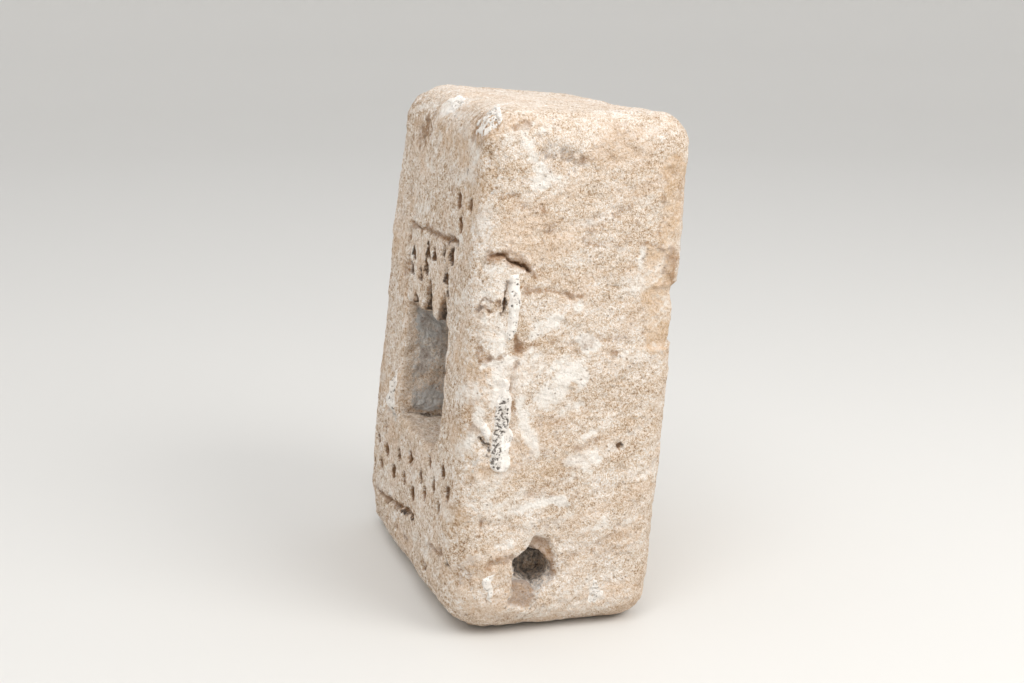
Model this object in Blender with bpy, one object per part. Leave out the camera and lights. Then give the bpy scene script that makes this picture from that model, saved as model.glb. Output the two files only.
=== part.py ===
"""A stone niche: one small block of limestone with an opening carved in its front.

The opening has a head of three pointed lobes under rows of chip carving, an incised frame, and
a field of pecked dots above a cut line below it. One end has a rough five-sided socket.

Lengths are in metres. The stone stands on z = 0, with its origin at the middle of its underside,
its carved front along -Y and its socketed end along +X. Everything is laid out on a square block
and then moved by `leaned`, which gives the block its real corners: it tapers, its top falls to
the back and it leans back from a base cut out of square. So the carving stays on its faces.
"""

import math

import bmesh
import bpy
from mathutils import Vector, noise

# The block
BASE_WIDTH = 0.270
TOP_WIDTH = 0.2425
BASE_DEPTH = 0.158
TOP_DEPTH = 0.1545
HEIGHT = 0.380
LEAN_BACK = 0.037  # how far the middle of the top lies behind the middle of the base
TOP_SHIFT = 0.003  # and how far towards the socketed end
TOP_FALL = 0.0125  # from the front edge of the top to its back edge
TOP_TWIST = 0.002
BASE_SKEW = 0.003

# How far the stone is worn round at the foot, middle and top of each upright edge, by the
# edge's end and face, with -1 for left and for front
EDGE_WEAR = {
    (-1, -1): (0.024, 0.006, 0.037),
    (1, -1): (0.043, 0.012, 0.026),
    (-1, 1): (0.018, 0.016, 0.018),
    (1, 1): (0.023, 0.016, 0.024),
}
SURFACE_STEP = 0.017  # the size of the facets that the faces are made of
EDGE_STEPS = (0.006, 0.015, 0.027)  # and where they are finer, from each edge
HOLLOWS = 0.0013  # the shallow rise and fall left by the dressing
HOLLOWS_ACROSS = 0.050
FLAT_FOOT = 0.020  # the height over which the hollows fade out towards the underside

# The niche, placed by the middle of its opening
NICHE_SILL = 0.120
NICHE_HEAD = 0.213
NICHE_WIDTH = 0.128
NICHE_OFFSET = 0.009  # from the middle of the front, towards the right
NICHE_DEPTH = 0.082
NICHE_BACK_SHARE = 0.93  # the size of its back, as a share of its mouth
JAMB_FOOT_WEAR = 0.030  # the worn foot of the right jamb
SILL_FALL = 0.009  # from the mouth to the back
CARVING_SLOPE = 0.045  # the rise of all that is carved above the sill, towards the right

# The lobes of its head: how high each rises above it, left, middle and right
LOBE_RISE = (0.012, 0.029, 0.024)
LOBE_SHARE = 0.76  # of the pitch, the rest is the cusp between two lobes
LOBE_DEPTH = 0.030
POINTEDNESS = 2.2

# The chip carving above the head
CHIP_WIDTH = 0.0115
CHIP_HEIGHT = 0.0145
CHIP_DEPTH = 0.006
CHIP_PITCH = 0.0205

# The incised frame round the opening
FRAME_TOP = 0.062  # above the head
FRAME_MARGIN = 0.006  # outside the left jamb
GROOVE_WIDTH = 0.0038
GROOVE_DEPTH = 0.0028

# The pecked dots, in slanting rows
DOT_WIDTH = 0.0115
DOT_DEPTH = 0.0045
DOT_SIDES = 9
DOT_PITCH = 0.0354
DOT_ROW_PITCH = 0.016
DOT_MARGIN = 0.028  # of the middle row, from the left edge
DOT_HEIGHT = 0.082
DOT_SLOPE = 0.10
DOT_WANDER = 0.001  # one step off the lattice

# The line cut under the dots
LOWER_LINE = 0.034  # its height at the left edge
LOWER_LINE_RISE = 0.026
LOWER_LINE_LENGTH = 0.162
LOWER_LINE_WIDTH = 0.006
LOWER_LINE_DEPTH = 0.004

# The socketed end, measured along it from the middle and up from the base
SOCKET_MIDDLE = -0.018
SOCKET_HEIGHT = 0.052
SOCKET_WIDTH = 0.035
SOCKET_RISE = 0.036
SOCKET_DEPTH = 0.032
SOCKET_FUNNEL = 0.009  # the chipped bevel at its upper right
SCOOP_RISE = 0.020
SCOOP_DEPTH = 0.006

CRACK_HEIGHT = 0.277
CRACK_MARGIN = 0.010  # from the front arris
CRACK_LENGTH = 0.034
CRACK_WIDTH = 0.006
CRACK_DEPTH = 0.006

# The groove beside the remains of an old mortar joint
JOINT_MIDDLE = -0.0455
JOINT_FOOT = 0.150
JOINT_HEAD = 0.224
JOINT_WIDTH = 0.006
JOINT_DEPTH = 0.0025

# The spalled back edge of the end
SPALL_FOOT = 0.212
SPALL_HEAD = 0.286
SPALL_WIDTH = 0.031
SPALL_DEPTH = 0.005
STRIP_HEAD = 0.345
STRIP_WIDTH = 0.022
STRIP_DEPTH = 0.0022

PROUD = 0.012  # how far a cutter stands out of the face that it cuts
STONE_COLOUR = (0.62, 0.52, 0.41, 1.0)
STONE_ROUGHNESS = 0.92


def corner(end, face, level):
    """The real place of one corner of the block."""
    at_top = level > 0
    width = TOP_WIDTH if at_top else BASE_WIDTH
    depth = TOP_DEPTH if at_top else BASE_DEPTH
    x = end * width / 2 + (TOP_SHIFT if at_top else face * BASE_SKEW)
    y = face * depth / 2 + (LEAN_BACK if at_top else 0.0)
    z = HEIGHT - face * TOP_FALL / 2 + end * face * TOP_TWIST if at_top else 0.0
    return Vector((x, y, z))


def shares(point):
    """What each corner counts for at a point of the square block."""
    x = point.x / BASE_WIDTH + 0.5
    y = point.y / BASE_DEPTH + 0.5
    z = point.z / HEIGHT
    return {
        (end, face, level): (x if end > 0 else 1 - x)
        * (y if face > 0 else 1 - y)
        * (z if level > 0 else 1 - z)
        for end in (-1, 1)
        for face in (-1, 1)
        for level in (-1, 1)
    }


def leaned(point):
    """The real place of a point of the square block."""
    place = Vector((0.0, 0.0, 0.0))
    for key, share in shares(point).items():
        place += share * corner(*key)
    return place


def wear_radius(point):
    """How far the stone is worn round near a point of the square block."""
    x = point.x / BASE_WIDTH + 0.5
    y = point.y / BASE_DEPTH + 0.5
    z = point.z / HEIGHT
    at_foot, at_top = (1 - z) ** 3, z**3
    levels = (at_foot, 1 - at_foot - at_top, at_top)
    return sum(
        (x if end > 0 else 1 - x)
        * (y if face > 0 else 1 - y)
        * sum(share * wear for share, wear in zip(levels, wears))
        for (end, face), wears in EDGE_WEAR.items()
    )


def worn_place(point):
    """The point moved in where edges and corners are worn round, and the way out from there."""
    radius = wear_radius(point)
    low = Vector((-BASE_WIDTH / 2, -BASE_DEPTH / 2, 0.0))
    high = Vector((BASE_WIDTH / 2, BASE_DEPTH / 2, HEIGHT))
    core = Vector(
        [min(max(c, lo + radius), hi - radius) for c, lo, hi in zip(point, low, high)]
    )
    out = (point - core).normalized()
    return core + out * radius, out


def dressed(point, normal):
    """The point moved along its normal by the shallow hollows of a hand-dressed face."""
    fade = min(max(point.z / FLAT_FOOT, 0.0), 1.0)
    return point + normal * HOLLOWS * fade * noise.noise(point / HOLLOWS_ACROSS)


def stations(low, high):
    """Where one side of the block is sliced, finer towards its ends."""
    inner_low, inner_high = low + EDGE_STEPS[-1], high - EDGE_STEPS[-1]
    count = max(1, round((inner_high - inner_low) / SURFACE_STEP))
    middle = [inner_low + (inner_high - inner_low) * i / count for i in range(count + 1)]
    ends = [low + step for step in EDGE_STEPS[:-1]]
    ends += [high - step for step in EDGE_STEPS[:-1]]
    return sorted(middle + ends)


def new_object(name, bm, collection):
    """A mesh object made from bm, with its faces pointing out."""
    bmesh.ops.recalc_face_normals(bm, faces=bm.faces)
    mesh = bpy.data.meshes.new(name)
    bm.to_mesh(mesh)
    bm.free()
    obj = bpy.data.objects.new(name, mesh)
    collection.objects.link(obj)
    return obj


def make_block(name, collection):
    """The uncarved stone: a cube sliced into facets, worn at its edges, dressed and leaned."""
    bm = bmesh.new()
    bmesh.ops.create_cube(bm, size=1.0)
    for vert in bm.verts:
        vert.co = Vector(
            (vert.co.x * BASE_WIDTH, vert.co.y * BASE_DEPTH, (vert.co.z + 0.5) * HEIGHT)
        )
    spans = (
        (-BASE_WIDTH / 2, BASE_WIDTH / 2),
        (-BASE_DEPTH / 2, BASE_DEPTH / 2),
        (0.0, HEIGHT),
    )
    for axis, span in enumerate(spans):
        normal = Vector([1.0 if i == axis else 0.0 for i in range(3)])
        for place in stations(*span):
            bmesh.ops.bisect_plane(
                bm,
                geom=bm.verts[:] + bm.edges[:] + bm.faces[:],
                plane_co=normal * place,
                plane_no=normal,
            )
    for vert in bm.verts:
        vert.co = leaned(dressed(*worn_place(vert.co)))
    underside = [v for v in bm.verts if v.co.z < 1e-6]
    bmesh.ops.dissolve_limit(
        bm,
        angle_limit=math.radians(0.1),
        verts=underside,
        edges=[e for e in bm.edges if all(v.co.z < 1e-6 for v in e.verts)],
    )
    bmesh.ops.triangulate(bm, faces=bm.faces)
    return new_object(name, bm, collection)


def front_point(x, z, depth):
    """A point of the front, `depth` behind its worn surface."""
    place, out = worn_place(Vector((x, -BASE_DEPTH / 2, z)))
    return place - out * depth


def end_point(y, z, depth):
    """A point of the socketed end, `depth` behind its worn surface."""
    place, out = worn_place(Vector((BASE_WIDTH / 2, y, z)))
    return place - out * depth


def behind_front(x, z, depth):
    """A point straight behind the flat of the front."""
    return Vector((x, -BASE_DEPTH / 2 + depth, z))


def add_loft(bm, rings):
    """Adds a closed solid through rings of equally many points."""
    levels = [[bm.verts.new(leaned(p)) for p in ring] for ring in rings]
    bm.faces.new(levels[0])
    bm.faces.new(levels[-1][::-1])
    for lower, upper in zip(levels, levels[1:]):
        for i in range(len(lower)):
            j = (i + 1) % len(lower)
            bm.faces.new((lower[i], upper[i], upper[j], lower[j]))


def scaled(outline, centre, share_x, share_z=None):
    """The outline drawn smaller or larger about a centre."""
    share_z = share_x if share_z is None else share_z
    return [
        (centre[0] + (x - centre[0]) * share_x, centre[1] + (z - centre[1]) * share_z)
        for x, z in outline
    ]


def pointed_arch(middle, foot, width, height, steps=5):
    """An upright outline that narrows to a point, from its left foot round to its right foot."""
    rise = [i / steps for i in range(steps)]
    left = [(middle - width / 2 * (1 - s**POINTEDNESS), foot + height * s) for s in rise]
    right = [(middle + width / 2 * (1 - s**POINTEDNESS), foot + height * s) for s in rise]
    return left + [(middle, foot + height)] + right[::-1]


def pit(bm, outline, depth, place, share, pull=(0.0, 0.0)):
    """Adds a cutter that narrows from the outline at the face to a share of it at its bottom."""
    middle = (
        sum(p[0] for p in outline) / len(outline),
        sum(p[1] for p in outline) / len(outline),
    )
    mouth = scaled(outline, middle, 1 + (1 - share) * PROUD / depth)
    mouth = [(x - pull[0] * PROUD / depth, z - pull[1] * PROUD / depth) for x, z in mouth]
    floor = [(x + pull[0], z + pull[1]) for x, z in scaled(outline, middle, share)]
    add_loft(
        bm,
        (
            [place(x, z, -PROUD) for x, z in mouth],
            [place(x, z, depth) for x, z in floor],
        ),
    )


def groove(bm, path, width, depth, place):
    """Adds a cutter of V section along a path on one face."""
    rings = []
    for i, (x, z) in enumerate(path):
        before, after = path[max(i - 1, 0)], path[min(i + 1, len(path) - 1)]
        along = Vector((after[0] - before[0], after[1] - before[1])).normalized()
        across = Vector((-along.y, along.x)) * width / 2 * (1 + PROUD / depth)
        rings.append(
            [
                place(x + across.x, z + across.y, -PROUD),
                place(x - across.x, z - across.y, -PROUD),
                place(x, z, depth),
            ]
        )
    add_loft(bm, rings)


def niche_left():
    """The place of the left jamb."""
    return NICHE_OFFSET - NICHE_WIDTH / 2


def carved_height(x, height):
    """A height on the front, with the rise that the carving has towards the right."""
    return height + CARVING_SLOPE * (x - niche_left())


def niche_outline():
    """The mouth of the opening below its head, with the worn foot of its right jamb."""
    left, right = niche_left(), niche_left() + NICHE_WIDTH
    foot = [
        (
            right - JAMB_FOOT_WEAR * (1 - math.cos(math.radians(angle))),
            NICHE_SILL + JAMB_FOOT_WEAR * (1 - math.sin(math.radians(angle))),
        )
        for angle in (0, 30, 60, 90)
    ]
    head = [(x, carved_height(x, NICHE_HEAD)) for x in (left, right)]
    return [(left, NICHE_SILL)] + head + foot


def make_niche_cutter(collection):
    """The deep opening, narrower at its back and with a sill that falls inwards."""
    bm = bmesh.new()
    mouth = niche_outline()
    centre = (NICHE_OFFSET, NICHE_SILL)
    spread = 1 + (1 - NICHE_BACK_SHARE) * PROUD / NICHE_DEPTH
    rise = SILL_FALL * PROUD / NICHE_DEPTH
    outer = [(x, z + rise) for x, z in scaled(mouth, centre, spread, 1.0)]
    inner = [
        (x, z - SILL_FALL) for x, z in scaled(mouth, centre, NICHE_BACK_SHARE, 1.0)
    ]
    add_loft(
        bm,
        (
            [behind_front(x, z, -PROUD) for x, z in outer],
            [behind_front(x, z, NICHE_DEPTH) for x, z in inner],
        ),
    )
    return new_object("cut_niche", bm, collection)


def make_lobe_cutter(collection):
    """The pointed lobes of the head, whose tops slope down into the stone."""
    bm = bmesh.new()
    pitch = NICHE_WIDTH / len(LOBE_RISE)
    overlap = LOBE_DEPTH / 2  # into the opening below
    for i, rise in enumerate(LOBE_RISE):
        middle = niche_left() + pitch * (i + 0.5)
        foot = carved_height(middle, NICHE_HEAD) - overlap
        mouth = pointed_arch(middle, foot, pitch * LOBE_SHARE, rise + overlap)
        rings = ((-PROUD, 1.05, 1.05), (LOBE_DEPTH / 3, 0.94, 0.94), (LOBE_DEPTH, 0.8, 0.6))
        add_loft(
            bm,
            [
                [behind_front(x, z, depth) for x, z in scaled(mouth, (middle, foot), *share)]
                for depth, *share in rings
            ],
        )
    return new_object("cut_lobes", bm, collection)


def chips():
    """The middle, foot, width share and height share of each chip, row by row."""
    left = niche_left()
    rows = (
        (0.0215, ((0.15, 0.9, 0.6), (1.58, 1.0, 0.7), (5.71, 0.8, 0.6))),
        (0.029, ((2.37, 1.15, 0.78), (5.22, 1.05, 0.72))),
        (0.0357, ((0.34, 0.95, 0.7),)),
        (0.0415, ((2.56, 1.05, 0.8), (3.44, 0.8, 0.68))),
        (0.0455, ((4.49, 0.9, 0.72), (5.66, 1.1, 0.72))),
    )
    for rise, row in rows:
        for place, wide, high in row:
            middle = left + place * CHIP_PITCH
            yield middle, carved_height(middle, NICHE_HEAD + rise), wide, high


def make_chip_cutter(collection):
    """Chip carving: pointed nicks, deepest under their tips."""
    bm = bmesh.new()
    for middle, foot, wide, high in chips():
        outline = pointed_arch(middle, foot, CHIP_WIDTH * wide, CHIP_HEIGHT * high, 3)
        pit(bm, outline, CHIP_DEPTH, front_point, 0.45, (0.0, CHIP_HEIGHT / 8))
    return new_object("cut_chips", bm, collection)


def dots():
    """The middle of each pecked dot: three staggered rows, then three above the frame's corner.

    A hand set them, so each stands off its lattice by so many times DOT_WANDER.
    """
    edge = -BASE_WIDTH / 2 + DOT_MARGIN
    rows = (
        (-1, -0.5, ((6.7, -7.2), (-2.7, -2.8), (0.9, -1.3), (0.5, 1.1), (-3.9, -4.4))),
        (-1, 4.5, ((-6.3, 3.1), (-0.7, 0.5))),
        (0, 0.0, ((-1.0, -1.0), (-5.4, -4.5), (-2.8, 0.0), (-5.2, 4.4), (-3.6, -2.2))),
        (0, 5.0, ((-1.0, -0.7), (0.6, 0.8))),
        (1, 0.5, ((4.3, -0.8),)),
        (1, 4.5, ((0.7, -1.9), (1.3, -2.5))),
    )
    for row, first, offsets in rows:
        for i, (right, up) in enumerate(offsets):
            across = edge + (first + i) * DOT_PITCH
            height = DOT_HEIGHT + row * DOT_ROW_PITCH + DOT_SLOPE * (across - edge)
            yield across + DOT_WANDER * right, height + DOT_WANDER * up
    corner_x = niche_left() + NICHE_WIDTH
    corner_z = carved_height(corner_x, NICHE_HEAD + FRAME_TOP)
    for right, above in ((0.007, 0.014), (-0.001, 0.030), (0.029, 0.031)):
        yield corner_x + right, corner_z + above


def make_dot_cutter(collection):
    """The pecked dots: shallow round pits with sloping sides."""
    bm = bmesh.new()
    for x, z in dots():
        ring = [
            (
                x + DOT_WIDTH / 2 * math.cos(math.tau * i / DOT_SIDES),
                z + DOT_WIDTH / 2 * math.sin(math.tau * i / DOT_SIDES),
            )
            for i in range(DOT_SIDES)
        ]
        pit(bm, ring, DOT_DEPTH, front_point, 0.5)
    return new_object("cut_dots", bm, collection)


def make_line_cutter(collection):
    """The two incised lines of the frame, and the line under the dots."""
    bm = bmesh.new()
    left = niche_left() - FRAME_MARGIN
    right = niche_left() + NICHE_WIDTH
    top = NICHE_HEAD + FRAME_TOP
    across = [(x, carved_height(x, top)) for x in (left, (left + right) / 2, right)]
    groove(bm, across, GROOVE_WIDTH, GROOVE_DEPTH, front_point)
    down = [(left, top - 2 * GROOVE_WIDTH), (left, NICHE_HEAD)]
    groove(bm, down, GROOVE_WIDTH, GROOVE_DEPTH, front_point)
    edge = -BASE_WIDTH / 2
    under = [
        (edge + LOWER_LINE_LENGTH * share, LOWER_LINE + LOWER_LINE_RISE * share)
        for share in (0.1, 0.4, 0.7, 1.0)
    ]
    groove(bm, under, LOWER_LINE_WIDTH, LOWER_LINE_DEPTH, front_point)
    return new_object("cut_lines", bm, collection)


def socket_outline():
    """The five-sided mouth of the socket: an apex, then round through its foot."""
    corners = ((0.05, 0.5), (-0.44, 0.26), (-0.38, -0.24), (0.1, -0.5), (0.5, -0.1))
    return [
        (SOCKET_MIDDLE + a * SOCKET_WIDTH, SOCKET_HEIGHT + b * SOCKET_RISE)
        for a, b in corners
    ]


def make_socket_cutter(collection):
    """The socket's deep hole."""
    bm = bmesh.new()
    pit(bm, socket_outline(), SOCKET_DEPTH, end_point, 0.7)
    return new_object("cut_socket", bm, collection)


def make_socket_wear_cutter(collection):
    """The chipped bevel at the socket's upper right and the scoop below it."""
    bm = bmesh.new()
    outline = scaled(socket_outline(), (SOCKET_MIDDLE, SOCKET_HEIGHT), 1.12)
    bevel = [(y + SOCKET_FUNNEL / 2, z + SOCKET_FUNNEL / 2) for y, z in outline]
    pit(bm, bevel, SOCKET_FUNNEL, end_point, 0.55)
    left, foot = SOCKET_MIDDLE - SOCKET_WIDTH * 0.44, SOCKET_HEIGHT - SOCKET_RISE / 2
    corners = ((0.0, 0.7), (0.0, -0.5), (0.45, -0.6), (0.6, 0.4))
    scoop = [(left + a * SOCKET_WIDTH, foot + b * SCOOP_RISE) for a, b in corners]
    pit(bm, scoop, SCOOP_DEPTH, end_point, 0.6, (0.0, SCOOP_RISE / 5))
    return new_object("cut_socket_wear", bm, collection)


def make_end_cutter(collection):
    """The drooping crack and the groove of the old mortar joint, on the socketed end."""
    bm = bmesh.new()
    start = -BASE_DEPTH / 2 + CRACK_MARGIN
    droop = CRACK_LENGTH / 3
    crack = [
        (start + CRACK_LENGTH * share, CRACK_HEIGHT + droop / 3 - droop * share**3)
        for share in (0.0, 0.35, 0.7, 1.0)
    ]
    groove(bm, crack, CRACK_WIDTH, CRACK_DEPTH, end_point)
    joint = [(JOINT_MIDDLE, JOINT_FOOT), (JOINT_MIDDLE, JOINT_HEAD)]
    groove(bm, joint, JOINT_WIDTH, JOINT_DEPTH, end_point)
    return new_object("cut_end", bm, collection)


def make_spall_cutter(collection):
    """The spalled back edge of the socketed end: one deep patch under a shallow strip."""
    bm = bmesh.new()
    back = BASE_DEPTH / 2
    skirt = 0.0006  # the depth of the step at the inner edge of each patch
    slabs = (
        (SPALL_WIDTH, SPALL_FOOT, SPALL_HEAD, SPALL_DEPTH),
        (STRIP_WIDTH, SPALL_HEAD, STRIP_HEAD, STRIP_DEPTH),
    )
    for width, foot, head, depth in slabs:
        ends = ((back - width, skirt), (back + PROUD, depth))
        rings = []
        for deep in (False, True):
            ring = []
            for (y, inner), levels in zip(ends, ((head, foot), (foot, head))):
                x = BASE_WIDTH / 2 - inner if deep else BASE_WIDTH / 2 + PROUD
                ring += [Vector((x, y, z)) for z in levels]
            rings.append(ring)
        add_loft(bm, rings)
    return new_object("cut_spall", bm, collection)


def make_material():
    """Pale dry limestone."""
    material = bpy.data.materials.new("limestone")
    material.use_nodes = True
    shader = material.node_tree.nodes["Principled BSDF"]
    shader.inputs["Base Color"].default_value = STONE_COLOUR
    shader.inputs["Roughness"].default_value = STONE_ROUGHNESS
    shader.inputs["Metallic"].default_value = 0.0
    material.diffuse_color = STONE_COLOUR
    return material


def main():
    for obj in list(bpy.data.objects):
        bpy.data.objects.remove(obj, do_unlink=True)
    parts = bpy.data.collections.new("stone_niche")
    cutters = bpy.data.collections.new("stone_niche_cutters")
    for collection in (parts, cutters):
        bpy.context.scene.collection.children.link(collection)
    cutters.hide_render = True

    block = make_block("niche_block", parts)
    block.data.materials.append(make_material())
    makers = (
        make_niche_cutter,
        make_lobe_cutter,
        make_chip_cutter,
        make_dot_cutter,
        make_line_cutter,
        make_socket_cutter,
        make_socket_wear_cutter,
        make_end_cutter,
        make_spall_cutter,
    )
    for make in makers:
        cutter = make(cutters)
        cutter.hide_render = True
        cutter.display_type = "WIRE"
        cut = block.modifiers.new(cutter.name, "BOOLEAN")
        cut.operation = "DIFFERENCE"
        cut.solver = "EXACT"
        cut.use_self = True
        cut.object = cutter


main()
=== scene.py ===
"""The looks of a stone niche: one worn block of limestone with an opening carved in its front.

The stone is made again from the sizes of its solid, with its carving cut a little wider and
deeper. The front and the socketed end each have a sheet of marks, in millimetres across and up,
for their relief, their stains and the painted shade in their chips and crack. The opening, its
lobes and the socket are hollows taken out of the block, the pecked dots are pressed in by
Geometry Nodes, and the crusts of old lime mortar are pieces of their own. Painted shade also
darkens the deeper relief, the dots, the socket and the niche's lobes.

Shapes are worked out on a square block and then leaned, as the solid is. Lengths are in metres,
apart from the marks.
"""

import logging
import math
from collections.abc import Callable, Iterator
from dataclasses import dataclass, field
from enum import Enum

import bpy
import numpy as np
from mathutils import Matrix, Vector, noise

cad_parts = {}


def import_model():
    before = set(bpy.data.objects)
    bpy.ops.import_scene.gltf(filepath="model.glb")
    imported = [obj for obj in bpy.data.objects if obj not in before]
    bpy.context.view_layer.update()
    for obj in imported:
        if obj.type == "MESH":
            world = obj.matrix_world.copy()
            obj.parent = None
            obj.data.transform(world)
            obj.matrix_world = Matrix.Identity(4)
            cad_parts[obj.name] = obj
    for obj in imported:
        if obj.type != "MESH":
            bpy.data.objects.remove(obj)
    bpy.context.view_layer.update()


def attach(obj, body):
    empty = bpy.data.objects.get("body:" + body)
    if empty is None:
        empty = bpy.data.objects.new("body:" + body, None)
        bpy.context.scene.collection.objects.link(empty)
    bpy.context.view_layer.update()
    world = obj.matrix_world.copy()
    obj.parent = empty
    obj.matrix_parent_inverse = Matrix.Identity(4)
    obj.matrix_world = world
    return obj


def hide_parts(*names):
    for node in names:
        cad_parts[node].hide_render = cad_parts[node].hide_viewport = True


LOG = logging.getLogger("stone_niche")
MM = 0.001
Outline = list[tuple[float, float]]
Corners = tuple[tuple[float, float], ...]
Stains = tuple[tuple["Stain", float], ...]
Colour = tuple[float, float, float, float]


class Stain(Enum):
    """What a place on the stone is coloured by: its stains, and painted shade, which DARK and BROWN also
    carry.
    """

    BROWN = "brown"
    DARK = "dark"
    LIME = "lime"
    TAN = "tan"
    SLATE = "slate"


class Face(Enum):
    """The faces that have a sheet of marks, by the axis and the way that they look."""

    FRONT = (1, -1)
    END = (0, 1)


def smooth(values: np.ndarray, low: float, high: float) -> np.ndarray:
    """An even step from 0 at low to 1 at high.

    Args:
        values: The values to place between them.
        low: Where the step starts.
        high: Where it ends, which may be below low.

    Returns:
        The step for each value.
    """
    share = np.clip((values - low) / (high - low), 0.0, 1.0)
    return share * share * (3 - 2 * share)


def blunt_max(a: np.ndarray, b: np.ndarray, width: float) -> np.ndarray:
    """The larger of two distances, with the arris between them worn away.

    Args:
        a: The first distance.
        b: The second.
        width: How wide the wear is.

    Returns:
        The blended distance.
    """
    share = np.clip(1 - np.abs(a - b) / width, 0.0, 1.0)
    return np.maximum(a, b) + share * share * width / 4


def polygon_distance(outline: Outline, u: np.ndarray, v: np.ndarray) -> np.ndarray:
    """How far each place lies outside a closed outline.

    Args:
        outline: Its corners in order.
        u: Places across.
        v: Places up.

    Returns:
        The distances, below 0 inside it.
    """
    inside = np.zeros(np.shape(u), bool)
    best = np.full(np.shape(u), np.inf)
    for (x0, z0), (x1, z1) in zip(outline, outline[1:] + outline[:1]):
        along, rise = x1 - x0, z1 - z0
        share = ((u - x0) * along + (v - z0) * rise) / (along * along + rise * rise)
        share = np.clip(share, 0.0, 1.0)
        best = np.minimum(best, np.hypot(u - x0 - share * along, v - z0 - share * rise))
        if rise:
            inside ^= ((z0 > v) != (z1 > v)) & (u < along * (v - z0) / rise + x0)
    return np.where(inside, -best, best)


def in_metres(corners: Corners) -> Outline:
    """An outline in metres, from one in millimetres."""
    return [(u * MM, v * MM) for u, v in corners]


def pointed_arch(middle: float, foot: float, width: float, height: float) -> Outline:
    """An upright outline that narrows to a point.

    Args:
        middle: The place of its point across.
        foot: The height of its foot.
        width: Its width at the foot.
        height: How high the point stands over the foot.

    Returns:
        Its corners, from the left foot round to the right one.
    """
    pointedness = 2.2
    rise = [i / 7 for i in range(7)]
    half = [width / 2 * (1 - share**pointedness) for share in rise]
    left = [(middle - w, foot + height * s) for w, s in zip(half, rise)]
    right = [(middle + w, foot + height * s) for w, s in zip(half, rise)]
    return left + [(middle, foot + height)] + right[::-1]


class LatticeNoise:
    """Smooth seeded noise between -1 and 1, on a lattice that wraps round."""

    SIZE = 64
    TURN = np.array([[0.80, 0.60, 0.0], [-0.36, 0.48, 0.80], [0.48, -0.64, 0.60]])

    def __init__(self, seed: int) -> None:
        """Fills the lattice from a seed."""
        shape = (self.SIZE,) * 3
        self.values = np.random.default_rng(seed).uniform(-1, 1, shape).astype(np.float32)

    def plain(self, points: np.ndarray) -> np.ndarray:
        """One layer of noise.

        Args:
            points: Places measured in the lattice's cells, three numbers each.

        Returns:
            The noise at each place, between -1 and 1.
        """
        cell = np.floor(points).astype(np.int64)
        part = points - cell
        part = part * part * (3 - 2 * part)
        total = np.zeros(len(points))
        for corner in range(8):
            steps = [(corner >> axis) & 1 for axis in range(3)]
            share = np.ones(len(points))
            for axis, step in enumerate(steps):
                share *= part[:, axis] if step else 1 - part[:, axis]
            index = [(cell[:, axis] + step) % self.SIZE for axis, step in enumerate(steps)]
            total += share * self.values[tuple(index)]
        return total

    def layered(self, points: np.ndarray, across: float, layers: int, fade: float = 0.5) -> np.ndarray:
        """Several layers of noise, each finer and fainter than the last.

        Args:
            points: Places in metres, three numbers each.
            across: The size of the coarsest cells.
            layers: How many layers.
            fade: How much each layer counts for, against the one before it.

        Returns:
            The noise at each place, mostly between -1 and 1.
        """
        total, weight, count = np.zeros(len(points)), 1.0, 0.0
        place = points / across
        for _ in range(layers):
            total += weight * self.plain(place)
            count += weight
            weight *= fade
            place = place @ self.TURN.T * 2.03 + 7.1
        return total / count * 1.6


@dataclass(frozen=True)
class Mark:
    """One mark on a face: a stroke along a path, or a spot where the path has one point.

    The path and the sizes are in millimetres. A depth below 0 stands proud.
    """

    path: Corners
    width: float
    depth: float = 0.0
    stains: Stains = ()
    blur: float = 0.55
    halo: float = 1.25


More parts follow.
